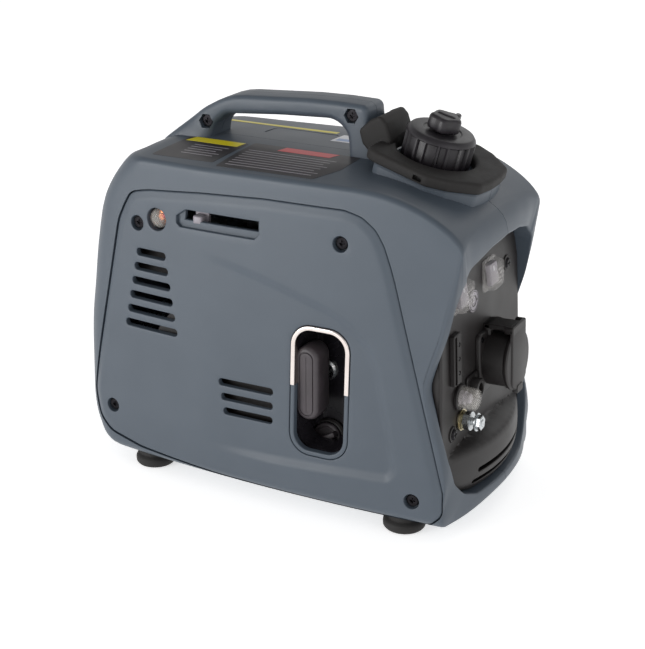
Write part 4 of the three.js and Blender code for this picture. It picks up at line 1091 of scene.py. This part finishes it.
# Screws in their counterbores, the primer, the choke lever, feet
def sunkScrew(name, x, z, seatY, node, reach=6.0):
    at = lambda u, v, h: (x + u, seatY - h, z + v)
    head = turned([(0, 0), (5.0, 0), (5.0, 1.9), (4.4, 2.5), (0, 2.6)], at, 32)
    arm = ((-2.4, -0.5), (2.4, -0.5), (2.4, 0.5), (-2.4, 0.5))
    star = [layered([(c * u - s * v, s * u + c * v) for u, v in arm], [(0, 1.0), (0, 4)], at)
            for c, s in ((1, 0), (0, 1), (0.7071, 0.7071))]
    combine(head, star, "DIFFERENCE")
    shank = rod(1.8, -reach, 0.2, at, 16)
    placed(painted(joined(head, shank), darkSteel), name, "generator", [node], 35)


for number, (x, z) in enumerate(screwsAt):
    sunkScrew(f"coverScrew{number + 1}", x, z, -(float(sideAt(x, z)) - 4.6), f"cover_screw_{number + 1}")
for number, (x, z) in enumerate(handleScrewsAt):
    sunkScrew(f"handleScrew{number + 1}", x, z, -11.2, f"handle_screw_{number + 1}", 2.0)

bulbY = -(float(sideAt(*primerAt)) - 9)
bulb = lambda u, v, h: (primerAt[0] + u, bulbY - h, primerAt[1] + v)
dome = turned([(8.2, -1), (8.7, -1), (8.7, 3.6), (7.4, 7.2), (4.4, 9.4), (0, 10.2), (0, 9.5), (4.1, 8.8),
               (6.8, 6.8), (8.1, 3.4)], bulb, 48)
placed(painted(dome, clearVinyl), "primerBulb", "primer_body", ["primer_bulb"], 45)
seat = turned([(0, -3), (7.8, -3), (7.8, -1.2), (6.0, -0.8), (5.4, 0.6), (3.0, 1.2), (2.6, 2.6), (0, 2.8)],
              bulb, 40)
flap = turned([(0, 0), (2.4, 0), (2.4, 1.8), (1.2, 2.8), (0, 3.0)], shifted(bulb, 2.2, 1.0), 32)
placed(joined(painted(seat, copperWire), painted(flap, labelRed)), "primerSeat", "generator",
       [], 40)

choke = dict(x=-60, z=227.5)
lever = shifted(sidePlace, choke["x"], choke["z"])
leverKnob = layered(rectangle(-4, 4, -3.4, 3.4, 1.2), [(0.4, 69.2), (0, 70), (0, 82.6), (0.5, 83.6),
                                                       (1.2, 84.0)], lever)
leverPlate = layered(rectangle(-6, 6, -9.4, 5.4, 1.0), [(0, 73.2), (0, 75.8)], lever)
placed(painted(joined(leverKnob, leverPlate), labelGrey), "chokeLever", "choke_lever_body",
       ["choke_lever"], 35)

feet = dict(x=117.7, y=72)
for number, (a, b) in enumerate([(1, -1), (1, 1), (-1, -1), (-1, 1)]):
    at = shifted(upPlace, a * feet["x"], b * feet["y"])
    foot = turned([(0, 0.0), (12.5, 0.0), (15.6, 0.7), (16.8, 2.2), (17.0, 4.4), (16.9, 6.2), (16.0, 8.0),
                   (14.2, 9.0), (13.2, 10.4), (13.0, 13.6), (0, 13.6)], at, 56)
    placed(painted(foot, softRubber), f"foot{number + 1}", "generator", [f"foot_{number + 1}"],
           40)

# Labels on the deck: dark films with a slanted coloured header and pale lines in place of wording
def deckLabel(corners, material, lift):
    return painted(plate(corners, [], lambda u, v: topAt(u, v) + lift, lambda u, v: topAt(u, v) - 0.5,
                         upPlace, edge=0, backEdge=0, grid=6, spacing=4), material)


def paleLines(x0, x1, ys, lift):
    return [deckLabel([(x0, y - 0.5), (x1 - 3 * (k % 3), y - 0.5), (x1 - 3 * (k % 3), y + 0.5),
                       (x0, y + 0.5)],
                      labelGrey, lift) for k, y in enumerate(ys)]


labels = [deckLabel(roundedOutline([(-110, -70), (-53, -70), (-50, -20), (-104, -20)], 2), labelBlack, 0.12),
          deckLabel([(-103, -31), (-55, -31), (-53, -20.5), (-99, -20.5)], labelYellow, 0.22),
          deckLabel(roundedOutline([(-47, -76), (38, -76), (48, -50), (48, -16), (-47, -16)], 2), labelBlack,
                    0.12),
          deckLabel([(-20, -27), (26, -27), (30, -17), (-17, -17)], labelRed, 0.22)]
labels += paleLines(-90, -58, (-38, -43, -48, -53, -58), 0.2)
labels += paleLines(-42, 36, (-34, -39, -44, -49, -54, -59, -64, -69), 0.2)
labels += [deckLabel([(-110, 46), (-6, 46), (-6, 52), (-110, 52)], labelYellow, 0.15),
           deckLabel([(2, 20), (52, 20), (52, 44), (2, 44)], labelWhite, 0.15),
           deckLabel([(5, 23), (30, 23), (30, 30), (5, 30)], labelBlue, 0.25)]
placed(joined(*labels), "deckLabels", "generator", [], 30)

# The rest keep their shapes from the frame and take better materials
kept = {
    darkSteel: ["exhaust_grille", "base_tray"],
    castAlloy: ["crankcase", "cylinder", "cylinder_head", "carburettor", "inverter_module"],
    zincSteel: ["muffler", "flywheel_rotor", "spark_plug"], copperWire: ["stator"],
    blackAbs: ["recoil_cover", "starter_pulley", "ignition_coil", "air_filter_box"],
    softRubber: ["plug_cap", "cap_gasket",
                 "oil_cap_seal"], tankPolymer: ["fuel_tank"], slateAbs: ["plug_access_lid"],
}
for material, names in kept.items():
    for name in names:
        nodes[name].data.materials.clear()
        nodes[name].data.materials.append(material)
print("pieces done")

light = dict(room=0.95, overhead=0.32, paperGlow=0.6, keyWatts=21, fillWatts=2.5, rimWatts=4)


def softLight(name, place, target, width, watts):
    data = bpy.data.lights.new(name, "AREA")
    data.shape, data.size, data.energy = "SQUARE", width, watts
    lamp = bpy.data.objects.new(name, data)
    bpy.context.scene.collection.objects.link(lamp)
    lamp.location = place
    lamp.rotation_mode = "QUATERNION"
    lamp.rotation_quaternion = (Vector(target) - Vector(place)).to_track_quat("-Z", "Y")
    return lamp


world = bpy.data.worlds.new("studio")
bpy.context.scene.world = world
world.use_nodes = True
background = world.node_tree.nodes["Background"]
background.inputs["Color"].default_value = (1, 1, 1, 1)
background.inputs["Strength"].default_value = light["room"]
# the room is brightest at the height of the piece and falls off overhead
roomTree = world.node_tree
direction = addNode(roomTree, "ShaderNodeTexCoord", {}, {})
heights = addNode(roomTree, "ShaderNodeSeparateXYZ", {}, {"Vector": direction.outputs["Generated"]})
overhead = addNode(roomTree, "ShaderNodeMapRange", {"From Min": 0.0, "From Max": 0.9, "To Min": 1.0,
                                                    "To Max": light["overhead"]},
                                                    {"Value": heights.outputs["Z"]})
roomTree.links.new(overhead.outputs["Result"], background.inputs["Color"])
softLight("keyLight", (-1.1, -1.8, 0.45), (0, 0, 0.12), 1.1, light["keyWatts"])
softLight("fillLight", (1.6, -0.6, 0.9), (0.1, 0, 0.15), 1.0, light["fillWatts"])
softLight("rimLight", (0.2, 1.6, 1.5), (0, 0, 0.2), 1.2, light["rimWatts"])
floorMesh = bpy.data.meshes.new("floor")
floorMesh.from_pydata([(-30, -30, 0), (30, -30, 0), (30, 30, 0), (-30, 30, 0)], [], [(0, 1, 2, 3)])
floorPiece = bpy.data.objects.new("floor", floorMesh)
bpy.context.scene.collection.objects.link(floorPiece)
# matt white studio paper
paper, _, paperShader, _ = startMaterial("white studio paper")
paperShader.inputs["Base Color"].default_value = linear("#F4F4F4")
paperShader.inputs["Roughness"].default_value = 0.9
paperShader.inputs["Emission Color"].default_value = (1, 1, 1, 1)
paperShader.inputs["Emission Strength"].default_value = light["paperGlow"]
floorMesh.materials.append(paper)
floorPiece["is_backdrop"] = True
bpy.context.scene.view_settings.view_transform = "Standard"

{"cad": cadBox, "visual": [list(corner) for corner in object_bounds()]}
